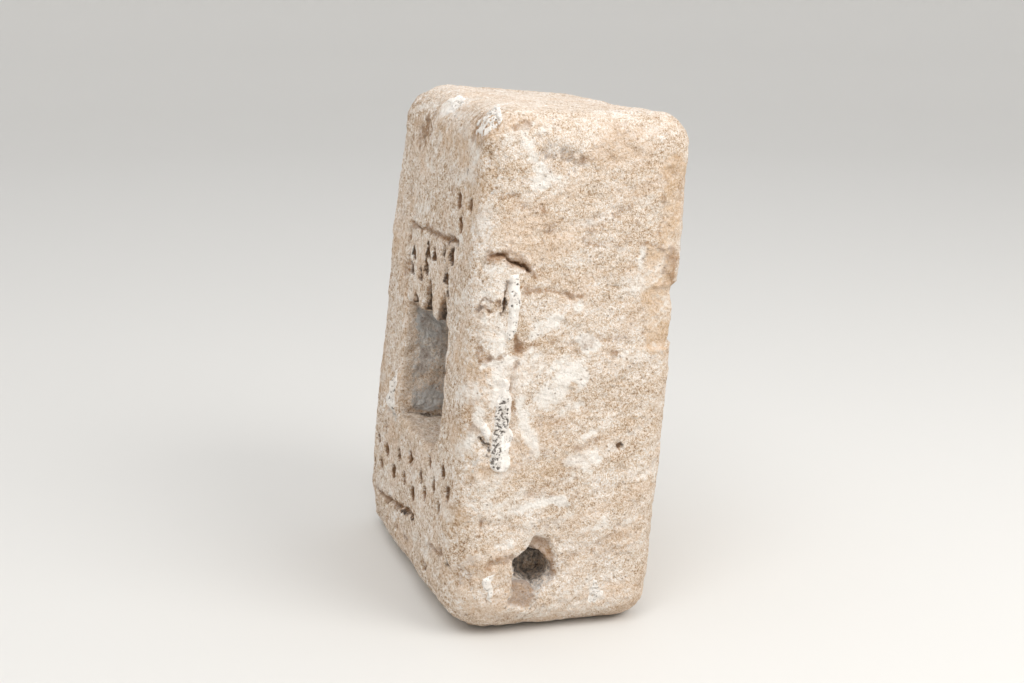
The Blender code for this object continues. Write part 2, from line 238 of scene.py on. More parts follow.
@dataclass
class Sheet:
    """A fine sheet over one face, with a value at each place for its depth and for each stain and its
    painted shade.
    """

    low: tuple[float, float]
    high: tuple[float, float]
    ragged: float = 2.0 * MM
    step: float = 0.75 * MM
    seed: int = 5
    layers: dict[str, np.ndarray] = field(default_factory=dict)

    def __post_init__(self) -> None:
        """Lays out the sheet and the ragged places that marks are drawn at."""
        u = np.arange(self.low[0], self.high[0] + self.step, self.step)
        v = np.arange(self.low[1], self.high[1] + self.step, self.step)
        self.u, self.v = np.meshgrid(u, v, indexing="ij")
        self.flat = np.stack([self.u.ravel(), self.v.ravel(), np.zeros(self.u.size)], 1)
        off_u, off_v = (
            LatticeNoise(seed).layered(self.flat, 0.009, 3, 0.6).reshape(self.u.shape)
            for seed in (self.seed, self.seed + 1)
        )
        self.ragged_u = self.u + off_u * self.ragged
        self.ragged_v = self.v + off_v * self.ragged
        self.smeared_u = self.u + off_v * self.ragged * 2.2
        self.smeared_v = self.v + off_u * self.ragged * 2.2
        self.broken = np.clip(0.92 + 0.9 * self.textured(self.seed + 2, 0.007, 3), 0.35, 1.25)
        for name in ["depth"] + [stain.value for stain in Stain]:
            self.layers[name] = np.zeros(self.u.shape)

    @classmethod
    def over(cls, block: "BlockShape", face: Face, seed: int) -> "Sheet":
        """The sheet of one face, which reaches on round the worn edges.

        Args:
            block: The block that it covers.
            face: The face.
            seed: The seed of its raggedness.

        Returns:
            The empty sheet, across the face and up along Z.
        """
        across, reach = 1 - face.value[0], 0.034
        low = (block.low[across] - reach, block.low[2] - reach / 2)
        high = (block.high[across] + reach, block.high[2] + reach)
        return cls(low, high, seed=seed)

    def textured(self, seed: int, across: float, layers: int, stretch: float = 1.0,
                 slant: float = 0.0) -> np.ndarray:
        """Layered noise over the sheet.

        Args:
            seed: The seed of the noise.
            across: The size of its coarsest cells.
            layers: How many layers it has.
            stretch: How much longer than high its shapes are.
            slant: How far, in degrees, they rise towards the right.

        Returns:
            The noise at each place, mostly between -1 and 1.
        """
        turn = math.radians(slant)
        along = self.flat[:, 0] * math.cos(turn) + self.flat[:, 1] * math.sin(turn)
        rise = self.flat[:, 1] * math.cos(turn) - self.flat[:, 0] * math.sin(turn)
        places = np.stack([along / stretch, rise, self.flat[:, 2]], 1)
        return LatticeNoise(seed).layered(places, across, layers).reshape(self.u.shape)

    def cover(self, mark: Mark, stain: bool) -> np.ndarray:
        """How much a mark covers each place, from 0 to 1.

        Args:
            mark: The mark.
            stain: Whether this is for its stain, which spreads further than its depth.

        Returns:
            The cover over the whole sheet.
        """
        best = np.full(self.u.shape, np.inf)
        u, v = (self.smeared_u, self.smeared_v) if stain else (self.ragged_u, self.ragged_v)
        points = in_metres(mark.path)
        for (x0, z0), (x1, z1) in zip(points, points[1:] or points):
            along, rise = x1 - x0, z1 - z0
            length = max(along * along + rise * rise, 1e-12)
            share = np.clip(((u - x0) * along + (v - z0) * rise) / length, 0.0, 1.0)
            best = np.minimum(best, np.hypot(u - x0 - share * along, v - z0 - share * rise))
        half = mark.width * MM / 2 * (mark.halo if stain else 1.0)
        cover = smooth(best / half, 1 + mark.blur, 1 - mark.blur)
        return cover if mark.width > 18 or mark.blur <= 0.3 else cover * self.broken

    def draw(self, marks: tuple[Mark, ...]) -> None:
        """Adds the depth of each mark, and keeps the strongest of each stain.

        Args:
            marks: The marks, in the order that they are drawn in.
        """
        for mark in marks:
            if mark.depth:
                self.layers["depth"] += self.cover(mark, False) * mark.depth * MM
            if not mark.stains:
                continue
            cover = self.cover(mark, True)
            for stain, amount in mark.stains:
                layer = self.layers[stain.value]
                np.maximum(layer, cover * amount, out=layer)

    def press(self, outline: Outline, depth: float, slope: float, stains: Stains) -> None:
        """Presses in a shape with steep sides.

        Args:
            outline: The shape's corners.
            depth: How deep its middle goes.
            slope: How far in from its outline the sides reach.
            stains: What it is coloured with, right up to its edge: stains, and in the chips painted shade.
        """
        inside = -polygon_distance(outline, self.ragged_u, self.ragged_v)
        pressed = smooth(inside, -slope / 3, slope)
        stained_part = smooth(inside, -slope / 2.2, slope / 5)
        layers = [("depth", depth * pressed)]
        layers += [(stain.value, amount * stained_part) for stain, amount in stains]
        for name, value in layers:
            np.maximum(self.layers[name], value, out=self.layers[name])

    def flaked(self, seed: int, across: float, stretch: float, slant: float) -> np.ndarray:
        """Shallow terraces with crisp edges, as a dressed face weathers, from about -1 to 1.

        Args:
            seed: The seed of their outlines.
            across: Their size.
            stretch: How much longer they are than high.
            slant: How far, in degrees, they rise towards the right.

        Returns:
            The rise at each place of the sheet.
        """
        level = self.textured(seed, across, 5, stretch, slant) * 3.0
        step = np.floor(level)
        return (step + smooth(level - step, 0.36, 0.64)) / 3.0

    def weather(self, seed: int, depth: float, slant: float) -> None:
        """Weathers the whole face: flakes, pits, and slanted patches of lime and brown.

        Args:
            seed: The seed of all of it.
            depth: The height of the flakes.
            slant: How far, in degrees, they rise towards the right.
        """
        self.layers["depth"] += 0.55 * MM * self.textured(seed, 0.020, 4, 1.6, slant)
        self.layers["depth"] += depth * self.flaked(seed + 2, 0.036, 1.8, slant)
        self.layers["depth"] += 0.4 * depth * self.flaked(seed + 4, 0.013, 1.8, slant)
        for stain, amount, across in (
            (Stain.LIME, 0.55, 0.017),
            (Stain.BROWN, 0.34, 0.012),
            (Stain.TAN, 0.50, 0.030),
        ):
            seed += 6
            patches = smooth(self.textured(seed, across, 5, 2.4, slant), 0.12, 0.75)
            layer = self.layers[stain.value]
            np.maximum(layer, amount * patches, out=layer)

    def at(self, name: str, u: np.ndarray, v: np.ndarray) -> np.ndarray:
        """The value of one layer between the places of the sheet."""
        return self.between(self.layers[name], u, v)

    def between(self, values: np.ndarray, u: np.ndarray, v: np.ndarray) -> np.ndarray:
        """Values over the sheet, read between its places.

        Args:
            values: One value for each place of the sheet.
            u: Places across.
            v: Places up.

        Returns:
            The value at each place asked for.
        """
        a = np.clip((u - self.low[0]) / self.step, 0, values.shape[0] - 1.001)
        b = np.clip((v - self.low[1]) / self.step, 0, values.shape[1] - 1.001)
        i, j = a.astype(int), b.astype(int)
        a, b = a - i, b - j
        return (values[i, j] * (1 - a) + values[i + 1, j] * a) * (1 - b) + (
            values[i, j + 1] * (1 - a) + values[i + 1, j + 1] * a
        ) * b


@dataclass(frozen=True)
class BlockShape:
    """The square block, how it is worn at its edges, and how it leans."""

    base_width: float = 0.270
    top_width: float = 0.2425
    base_depth: float = 0.158
    top_depth: float = 0.1545
    height: float = 0.380
    lean_back: float = 0.037
    top_shift: float = 0.003
    top_fall: float = 0.0125
    top_twist: float = 0.002
    base_skew: float = 0.003
    hollows: float = 0.0013
    hollows_across: float = 0.050
    flat_foot: float = 0.020
    edge_wear: tuple[tuple[tuple[int, int], tuple[float, float, float]], ...] = (
        ((-1, -1), (0.024, 0.006, 0.037)),
        ((1, -1), (0.043, 0.012, 0.026)),
        ((-1, 1), (0.018, 0.016, 0.018)),
        ((1, 1), (0.023, 0.016, 0.024)),
    )

    @property
    def low(self) -> np.ndarray:
        """The lowest corner of the square block."""
        return np.array([-self.base_width / 2, -self.base_depth / 2, 0.0])

    @property
    def high(self) -> np.ndarray:
        """The highest corner of the square block."""
        return np.array([self.base_width / 2, self.base_depth / 2, self.height])

    def shares(self, points: np.ndarray) -> np.ndarray:
        """Each point's place in the block, from 0 to 1 along each axis."""
        return (points - self.low) / (self.high - self.low)

    def corner(self, end: int, face: int, level: int) -> tuple[float, float, float]:
        """The real place of one corner, which -1 and 1 name along each axis."""
        top = level > 0
        width = self.top_width if top else self.base_width
        depth = self.top_depth if top else self.base_depth
        x = end * width / 2 + (self.top_shift if top else face * self.base_skew)
        y = face * depth / 2 + (self.lean_back if top else 0.0)
        z = self.height - face * self.top_fall / 2 + end * face * self.top_twist if top else 0.0
        return x, y, z

    def leaned(self, points: np.ndarray) -> np.ndarray:
        """Leans points of the square block.

        Args:
            points: The points.

        Returns:
            Their real places.
        """
        share = self.shares(points)
        place = np.zeros((len(points), 3))
        for end in (-1, 1):
            for face in (-1, 1):
                for level in (-1, 1):
                    weight = np.ones(len(points))
                    for axis, way in enumerate((end, face, level)):
                        weight *= share[:, axis] if way > 0 else 1 - share[:, axis]
                    place += weight[:, None] * np.array(self.corner(end, face, level))
        return place

    def straightened(self, places: np.ndarray) -> np.ndarray:
        """The points of the square block that lean to these real places."""
        points = places.copy()
        for _ in range(14):
            points += places - self.leaned(points)
        return points

    def wear(self, points: np.ndarray) -> np.ndarray:
        """How far the stone is worn round.

        Args:
            points: Points of the square block.

        Returns:
            The radius of the wear near each point.
        """
        x, y, z = np.clip(self.shares(points), 0.0, 1.0).T
        foot, top = (1 - z) ** 3, z**3
        levels = (foot, 1 - foot - top, top)
        total = np.zeros(len(points))
        for (end, face), wears in self.edge_wear:
            share = (x if end > 0 else 1 - x) * (y if face > 0 else 1 - y)
            total += share * sum(level * wear for level, wear in zip(levels, wears))
        return total

    def surface(self, points: np.ndarray) -> tuple[np.ndarray, np.ndarray, np.ndarray, np.ndarray]:
        """How points lie to the worn block.

        Args:
            points: Points of the square block.

        Returns:
            Their distances from its surface, below 0 inside it; the way out; the core that each
            is rounded about; and how far it is worn there.
        """
        radius = self.wear(points)
        core = np.clip(points, self.low + radius[:, None], self.high - radius[:, None])
        off = points - core
        length = np.linalg.norm(off, axis=1)
        gaps = np.stack([self.high - points, points - self.low], 1).reshape(len(points), 6)
        nearest = gaps.argmin(1)
        axes = np.vstack([np.eye(3), -np.eye(3)])
        deep = length < 1e-9
        out = np.where(deep[:, None], axes[nearest], off / np.maximum(length, 1e-9)[:, None])
        distance = np.where(deep, -gaps[np.arange(len(points)), nearest], length - radius)
        return distance, out, core, radius

    def pulled(self, points: np.ndarray, core: np.ndarray, radius: np.ndarray, face: Face) -> np.ndarray:
        """Where each point lies on the sheet of a face, followed round its worn edges."""
        axis, way = face.value
        over = (points[:, axis] - core[:, axis]) * way
        scale = np.where(over > 1e-6, radius / np.maximum(over, radius / 3), 1.0)
        return core + (points - core) * scale[:, None]

    def hollowed(self, points: np.ndarray) -> np.ndarray:
        """The shallow rise and fall left by the dressing, as the solid has it."""
        fade = np.clip(points[:, 2] / self.flat_foot, 0.0, 1.0)
        rise = [noise.noise(Vector(p)) for p in points / self.hollows_across]
        return self.hollows * fade * np.array(rise)

    def place_on_front(self, x: float, z: float) -> tuple[float, float, float]:
        """A point of the worn front of the square block."""
        point = np.array([[x, self.low[1], z]])
        _, out, core, radius = self.surface(point)
        return tuple((core + out * radius[:, None])[0])


@dataclass
class Opening:
    """The niche: a deep opening whose head has three pointed lobes."""

    block: BlockShape
    sill: float = 0.120
    head: float = 0.213
    width: float = 0.128
    offset: float = 0.009
    depth: float = 0.082
    back_share: float = 0.93
    jamb_foot_wear: float = 0.030
    sill_fall: float = 0.009
    slope: float = 0.045
    lobe_rise: tuple[float, float, float] = (0.012, 0.029, 0.024)
    lobe_share: float = 0.84
    lobe_depth: float = 0.030
    arris_wear: float = 0.004
    roughness: float = 0.0012

    @property
    def left(self) -> float:
        """The place of the left jamb."""
        return self.offset - self.width / 2

    def height_at(self, x: float, height: float) -> float:
        """A height on the front, with the rise that the carving has towards the right."""
        return height + self.slope * (x - self.left)

    def outline(self) -> Outline:
        """The mouth below the head, with the worn foot of its right jamb."""
        left, right, wear = self.left, self.left + self.width, self.jamb_foot_wear
        angles = [math.radians(angle) for angle in range(0, 91, 15)]
        foot = [
            (right - wear * (1 - math.cos(a)), self.sill + wear * (1 - math.sin(a))) for a in angles
        ]
        head = [(x, self.height_at(x, self.head)) for x in (left, right)]
        return [(left, self.sill)] + head + foot

    def lobes(self) -> Iterator[tuple[float, float, Outline]]:
        """The middle, the foot and the outline of each lobe."""
        pitch, overlap = self.width / len(self.lobe_rise), self.lobe_depth / 2
        for i, rise in enumerate(self.lobe_rise):
            middle = self.left + pitch * (i + 0.5)
            foot = self.height_at(middle, self.head) - overlap
            yield middle, foot, pointed_arch(middle, foot, pitch * self.lobe_share, rise + overlap)

    def distance(self, points: np.ndarray) -> np.ndarray:
        """How far points lie outside the hollow.

        Args:
            points: Points of the square block.

        Returns:
            Their distances from its walls, below 0 inside it.
        """
        x, z = points[:, 0], points[:, 2]
        deep = points[:, 1] - self.block.low[1]
        inward = np.clip(deep / self.depth, -0.3, 1.2)
        share = 1 + (self.back_share - 1) * inward
        mouth = polygon_distance(
            self.outline(), self.offset + (x - self.offset) / share, z + self.sill_fall * inward
        )
        hollow = blunt_max(mouth, deep - self.depth, 0.012)
        for middle, foot, outline in self.lobes():
            wide = np.interp(deep, (-0.012, self.lobe_depth / 3, self.lobe_depth), (1.05, 0.94, 0.8))
            high = np.interp(deep, (-0.012, self.lobe_depth / 3, self.lobe_depth), (1.05, 0.94, 0.6))
            lobe = polygon_distance(outline, middle + (x - middle) / wide, foot + (z - foot) / high)
            lobe = blunt_max(lobe, deep - self.lobe_depth, 0.004)
            hollow = -blunt_max(-hollow, -lobe, 0.002)
        return hollow


@dataclass
class Socket:
    """The rough five-sided socket in the end."""

    block: BlockShape
    middle: float = -0.018
    height: float = 0.052
    width: float = 0.035
    rise: float = 0.036
    depth: float = 0.032
    floor_share: float = 0.78
    roughness: float = 0.0022
    corners: Corners = (
        (-0.06, 0.47), (-0.26, 0.36), (-0.46, 0.20), (-0.43, 0.0), (-0.37, -0.22), (-0.06, -0.31),
        (0.14, -0.47), (0.29, -0.36), (0.51, -0.25), (0.49, 0.03), (0.20, 0.31),
    )

    def outline(self) -> Outline:
        """Its mouth."""
        return [(self.middle + a * self.width, self.height + b * self.rise) for a, b in self.corners]

    def distance(self, points: np.ndarray) -> np.ndarray:
        """How far each point of the square block lies outside the socket."""
        deep = self.block.high[0] - points[:, 0]
        share = 1 + (self.floor_share - 1) * np.clip(deep / self.depth, -0.2, 1.3)
        y = self.middle + (points[:, 1] - self.middle) / share
        z = self.height + (points[:, 2] - self.height) / share
        return blunt_max(polygon_distance(self.outline(), y, z), deep - self.depth, 0.006)


def stained_and_shaded(**amounts: float) -> Stains:
    """Stains and painted shade by name, with how strong each is."""
    return tuple((Stain(name), amount) for name, amount in amounts.items())


def stroke(width: float, depth: float, path: tuple[float, ...], blur: float = Mark.blur,
           halo: float = Mark.halo, **stains: float) -> Mark:
    """One mark, as the sheets of the faces list it, in millimetres.

    Args:
        width: How wide it is.
        depth: How deep it is, below 0 where it stands proud.
        path: Its points, two numbers each.
        blur: How soft its edge is.
        halo: How much wider than its depth its stains are.
        stains: How strong each of its stains is.

    Returns:
        The mark.
    """
    return Mark(tuple(zip(path[::2], path[1::2])), width, depth, stained_and_shaded(**stains), blur, halo)


@dataclass
class FrontSheet:
    """The marks of the carved front: chips with painted shade, frame, lines and stains."""

    opening: Opening
    chip_width: float = 0.0140
    chip_height: float = 0.0165
    chip_depth: float = 0.0075
    chip_pitch: float = 0.0205
    chip_slope: float = 2.2 * MM
    marks: tuple[Mark, ...] = (
        stroke(3.4, 2.6, (-62, 275, -20, 276, 20, 278, 75, 281), blur=0.3, brown=1.0, dark=0.2),
        stroke(4.5, 1.4, (50, 280, 76, 281), brown=0.9, dark=0.5),
        stroke(5, -1.1, (-54, 279, -54, 248, -51, 216), lime=0.9),
        stroke(6, 1.8, (-63, 282, -63, 215), brown=0.55),
        stroke(8, 1.8, (-70, 266, -62, 267), dark=0.25, brown=0.9),
        stroke(9, 2.0, (-72, 236, -62, 240), dark=0.25, brown=0.9),
        stroke(8, -0.4, (-40, 258, -28, 261), lime=0.9),
        stroke(3, -0.5, (-6, 266, 4, 267), lime=0.6),
        stroke(6, 0.0, (75, 287, 86, 286), lime=0.7),
        stroke(3, 1.2, (44, 312, 52, 313), brown=0.9),
        stroke(4, 1.2, (-6, 315), brown=0.8),
        stroke(4.5, 3.0, (-67, 131, -66, 146, -64, 152), dark=0.6, brown=0.6),
        stroke(8, 1.2, (-74, 116, -52, 118), slate=0.5, dark=0.2),
        stroke(4.2, 3.2, (-97, 39, -64, 43, -37, 48, -5, 54, 22, 58), blur=0.3, brown=1.0),
        stroke(3.0, 0.4, (-60, 44, -37, 48, -5, 54, 22, 58), blur=0.5, dark=0.75),
        stroke(3.6, 2.6, (64, 49, 78, 54, 107, 60), brown=1.0, dark=0.2),
        stroke(5, 2.8, (116, 54), dark=0.9),
        stroke(7, 2.2, (-55, 28), brown=0.8),
        stroke(7, 2.2, (-28, 32), brown=0.8),
        stroke(7, 2.6, (3, 33), brown=0.8, dark=0.3),
        stroke(6, 1.8, (23, 35), brown=0.6),
        stroke(7, 2.6, (66, 35), brown=0.8, dark=0.4),
        stroke(15, 0.7, (-58, 345, -42, 350, -30, 356), blur=0.9, brown=0.95, dark=0.3),
        stroke(12, 0.4, (-88, 335), brown=0.7),
        stroke(15, 0.8, (98, 360, 118, 366, 134, 384), brown=0.8),
        stroke(20, 0.4, (90, 376, 82, 400, 74, 430), brown=0.6, dark=0.2),
        stroke(22, -0.6, (-8, 372, -12, 400, -14, 430), blur=0.5, lime=0.9),
        stroke(6, 0.0, (-16, 366, -4, 378), lime=0.7),
        stroke(12, -0.5, (97, 342, 111, 350), lime=0.7),
        stroke(2.4, 0.9, (88, 335, 92, 345, 104, 355), dark=0.3, brown=0.4),
        stroke(8, 0.0, (-6, 340, 10, 350), lime=0.6),
        stroke(30, 0.0, (-125, 210, -118, 120), blur=0.9, brown=0.35),
        stroke(26, 0.0, (75, 130, 84, 250), blur=0.9, slate=0.25),
        stroke(40, -2.6, (-126, 150, -126, 66), blur=0.9),
        stroke(26, 2.6, (-124, 20, -96, 14), blur=0.9),
    )

    def chips(self) -> Iterator[Outline]:
        """The outline of each chip, row by row."""
        rows = (
            (0.0215, ((0.15, 0.9, 0.6), (1.58, 1.0, 0.7), (5.71, 0.8, 0.6))),
            (0.029, ((2.37, 1.15, 0.78), (5.22, 1.05, 0.72))),
            (0.0357, ((0.34, 0.95, 0.7),)),
            (0.0415, ((2.56, 1.05, 0.8), (3.44, 0.8, 0.68))),
            (0.0455, ((4.49, 0.9, 0.72), (5.66, 1.1, 0.72))),
        )
        opening = self.opening
        for rise, row in rows:
            for place, wide, high in row:
                middle = opening.left + place * self.chip_pitch
                foot = opening.height_at(middle, opening.head + rise)
                yield pointed_arch(middle, foot, self.chip_width * wide, self.chip_height * high)

    def build(self, block: BlockShape) -> Sheet:
        """The finished sheet of the front.

        Args:
            block: The block that it covers.

        Returns:
            The sheet, across along X and up along Z.
        """
        sheet = Sheet.over(block, Face.FRONT, 11)
        sheet.draw(self.marks)
        for outline in self.chips():
            # Each chip is painted brown and dark right up to its edge: painted shade in its hollow.
            sheet.press(outline, self.chip_depth, self.chip_slope, stained_and_shaded(brown=1.0, dark=0.9))
        sheet.weather(31, 0.6 * MM, 12.0)
        return sheet


@dataclass
class EndSheet:
    """The marks of the socketed end: crack, joint, smears, tool marks and spalls."""

    spall_foot: float = 0.212
    spall_step: float = 0.259
    spall_head: float = 0.286
    spall_width: float = 0.031
    spall_depth: float = 0.0075
    spall_head_depth: float = 0.0042
    strip_head: float = 0.345
    strip_width: float = 0.022
    strip_depth: float = 0.0024
    break_depth: float = 0.0040
    edge_reach: float = 0.0053
    edge_way: tuple[float, float] = (0.31, 0.95)
    spall_starts: tuple[float, float, float] = (0.11, 0.035, 0.20)
    spall_skirt: float = 0.0206
    spall_share: float = 0.75
    elsewhere: float = -0.02
    scoop_depth: float = 0.0044
    funnel_depth: float = 0.0042
    press_slope: float = 3.2 * MM
    scoop: Corners = (
        (-33, 52), (-22, 52), (-10, 44), (-11, 34), (-13, 24), (-17, 19), (-25, 20), (-34, 26),
    )
    funnel: Corners = (
        (-24, 68), (-19, 79), (-11, 77), (-5, 71), (0, 60), (3, 50), (2, 42), (-4, 42), (-6, 50), (-14, 60),
    )
    marks: tuple[Mark, ...] = (
        # The crack: its brown halo and dark core are painted shadow under its overhanging upper lip.
        stroke(3.6, 3.0,
               (-73, 281, -64, 282, -59, 281, -53, 278, -46, 274, -41, 271), blur=0.8, halo=3.0, brown=0.9),
        stroke(2.8, 1.6, (-66, 282, -59, 281.5, -55, 279), blur=0.7, halo=1.1, dark=0.55),
        stroke(2.0, 2.2, (-58, 280.5, -53, 278, -46, 274, -41, 271), blur=0.6, halo=1.3, dark=0.75),
        stroke(1.8, 1.0, (-66, 282, -64, 286), dark=0.4),
        stroke(6, -1.2, (-72, 286, -60, 287, -46, 281), lime=0.3),
        stroke(4, 2.2, (-45, 150, -45, 196), brown=0.55),
        stroke(4.5, 2.0, (-45, 196, -46, 222), brown=0.5, slate=0.3),
        stroke(5, 1.4, (-48, 225, -43, 222, -43, 213), blur=0.8, brown=0.8, dark=0.2),
        stroke(2.0, 2.2, (-57, 264, -58, 252, -56, 240), dark=0.45, brown=0.5),
        stroke(3.0, 1.2, (-59, 251, -57, 248), blur=0.3, dark=0.9),
        stroke(3.0, -1.4, (-60.5, 263, -60.5, 254), blur=0.3, lime=0.7),
        stroke(3.6, -0.9, (-58, 238, -57, 216), lime=0.9),
        stroke(2.2, 1.0, (-34, 40, -34, 26), dark=0.3),
        stroke(7, 0.6, (-16, 75, -6, 70), blur=0.8, brown=0.8, dark=0.25),
        stroke(3, -0.8, (-19, 81, -8, 76, 4, 62, 8, 48), lime=0.5),
        stroke(4, -1.0, (3, 58, 6, 52), lime=0.7),
        stroke(5, 1.6, (-34, 63, -44, 61, -52, 60), brown=0.7),
        stroke(5, 0.9, (-24, 82, -44, 90, -62, 90), brown=0.3),
        stroke(5, -1.6, (-71, 206, -60, 207, -49, 209), blur=0.3, lime=1.0),
        stroke(2.0, 0.9, (-66, 210, -53, 212.5), blur=0.3, brown=1.0),
        stroke(6, -1.0, (-41, 207, -26, 211), blur=0.45, lime=0.9),
        stroke(2.4, 0.8, (-45, 257.5, -28, 258.5, -13, 255, 1, 251), blur=0.3, brown=1.2),
        stroke(1.2, 0.5, (-42, 262, -17, 260), brown=0.7),
        stroke(5.5, -2.4, (-26, 101, -9, 102.5, 4, 102.5), blur=0.3, lime=1.1),
        stroke(3.4, -1.4, (-42, 99, -28, 100), lime=0.8),
        stroke(8, 0.5, (-26, 108, -8, 112, 10, 110), blur=0.8, brown=0.5),
        stroke(9, 0.4, (-14, 112, -2, 115), brown=0.5),
        stroke(3.6, -1.3, (-77, 104, -61, 104, -47, 103), lime=0.8),
        stroke(4, -1.4, (-48, 77, -34, 76), lime=0.8),
        stroke(3.4, -1.3, (9, 147, 20, 155), lime=1.0),
        stroke(2.4, -0.9, (18, 150, 29, 158), lime=0.8),
        stroke(6, 0.6, (10, 142, 26, 147), blur=0.8, brown=0.65),
        stroke(11, -1.1, (4, 128, 22, 134), lime=0.9),
        stroke(9, -0.5, (20, 122), lime=0.7),
        stroke(4.6, 3.4, (39.5, 140), blur=0.25, halo=1.1, dark=1.4),
        stroke(8, -0.8, (-38, 178, -31, 166, -28, 152, -26, 139), lime=1.2),
        stroke(14, -0.6, (-20, 180, -10, 188, 0, 194), lime=0.95),
        stroke(9, 0.0, (-4, 170, 6, 172), lime=0.7),
        stroke(9, -0.6, (-30, 229, -18, 234), lime=0.95),
        stroke(6, -0.4, (-14, 240, -4, 246), lime=0.8),
        stroke(7.5, -0.8, (3, 219, 9, 217, 13, 218), blur=0.25, halo=1.1, lime=1.6),
        stroke(9, -0.5, (-40, 331, -26, 333), lime=0.9),
        stroke(6, -1.8, (-52, 374, -49, 357, -45, 347, -39, 338), lime=0.8),
        stroke(15, 2.4, (-44, 361, -36, 354, -25, 349, -14, 346), blur=0.6, slate=0.35, brown=0.3),
        stroke(7, 0.8, (-14, 352, -8, 348), brown=0.6),
        stroke(9, 1.4, (-60, 374, -50, 376), brown=0.85),
        stroke(4, 1.3, (-79, 325, -60, 322, -44, 314), brown=0.6),
        stroke(5, 0.7, (-40, 317, -34, 314), brown=0.7),
        stroke(6, 0.9, (-28, 299, 0, 304, 26, 314), brown=0.45),
        stroke(3, -0.7, (-10, 302, 10, 308), lime=0.85),
        stroke(4, 0.7, (2, 306, 16, 312, 32, 318), blur=0.8, brown=0.6),
        stroke(3, 0.5, (-6, 296, 8, 303, 26, 308), blur=0.8, brown=0.5),
        stroke(5, 0.7, (-2, 292, 18, 293), brown=0.5),
        stroke(4, 0.7, (32, 301, 38, 299), brown=0.7),
        stroke(5, -0.8, (44, 262, 46, 284), lime=0.7),
        stroke(5, -0.4, (26, 284, 30, 289), lime=0.7),
        stroke(2.0, 1.3,
               (-82, 247, -77, 250, -69, 250.5, -62, 249, -61, 245.5, -66, 243, -74, 244, -82, 246),
               blur=0.3, halo=1.3, brown=1.0, dark=0.35),
        stroke(9, -1.2, (-74, 236, -66, 224, -57, 211), blur=0.8, lime=0.55),
        stroke(5, 1.2, (-82, 230, -72, 216, -63, 209), blur=0.8, brown=0.9),
        stroke(3.4, 1.2, (-61, 85, -61, 95), dark=0.15, brown=0.5),
        stroke(9, 0.0, (-79, 158, -70, 160), brown=0.6),
        stroke(10, 1.0, (-70, 136, -61, 143), blur=0.8, halo=1.0, slate=0.8, dark=0.3),
        stroke(12, 0.0, (-64, 124, -50, 126), lime=0.5),
        stroke(11, -0.5, (-58, 200, -62, 180, -66, 168), lime=0.9),
        stroke(12, 0.0, (-72, 184, -70, 166), lime=0.7),
        stroke(2.4, 2.0, (-67, 154, -61, 145), blur=0.3, dark=0.8, brown=0.6),
        stroke(10, 0.0, (-50, 330, -45, 318), slate=0.3),
        stroke(2, 0.4, (55.5, 345, 55.5, 290), brown=0.6),
        stroke(14, 0.0, (62, 346, 74, 330), brown=0.45),
        stroke(21, 0.0, (66, 340, 66, 295), blur=0.3, tan=0.75),
        stroke(3, 0.9, (46, 289, 60, 286, 76, 287), brown=0.9),
        stroke(2.0, 0.5, (47, 286, 46, 270, 48, 252, 51, 232, 52, 214), brown=0.5),
        stroke(27, 0.0, (62, 280, 66, 220), blur=0.25, halo=1.1, tan=1.0),
        stroke(14, 0.4, (70, 282, 72, 262), brown=0.7),
        stroke(2, 0.8, (60, 260, 78, 260), brown=1.0, dark=0.3),
        stroke(6, 0.6, (-42, 216, -10, 218, 40, 223), brown=0.5),
        stroke(3.4, 0.5, (26, 212, 32, 212), brown=0.7),
        stroke(7, -0.4, (-20, 202, 6, 206), lime=0.6),
        stroke(5, -0.6, (62, 214, 66, 206, 62, 196), lime=0.7),
        stroke(10, 0.0, (-70, 108, -56, 120), lime=0.6),
        stroke(5, -0.6, (20, 80, 34, 86), lime=0.6),
        stroke(4, 0.7, (5, 58, 30, 66, 50, 78), brown=0.4),
        stroke(11, 0.3, (30, 40, 34, 26), lime=0.5),
    )

    def build(self, block: BlockShape) -> Sheet:
        """The finished sheet of the end.

        Args:
            block: The block that it covers.

        Returns:
            The sheet, across along Y and up along Z.
        """
        sheet = Sheet.over(block, Face.END, 17)
        sheet.draw(self.marks)
        for outline, depth, stains in (
            (self.scoop, self.scoop_depth, stained_and_shaded(slate=0.4)),
            (self.funnel, self.funnel_depth, stained_and_shaded(brown=0.14)),
        ):
            sheet.press(in_metres(outline), depth, self.press_slope, stains)
        sheet.weather(41, 1.3 * MM, 24.0)
        return sheet

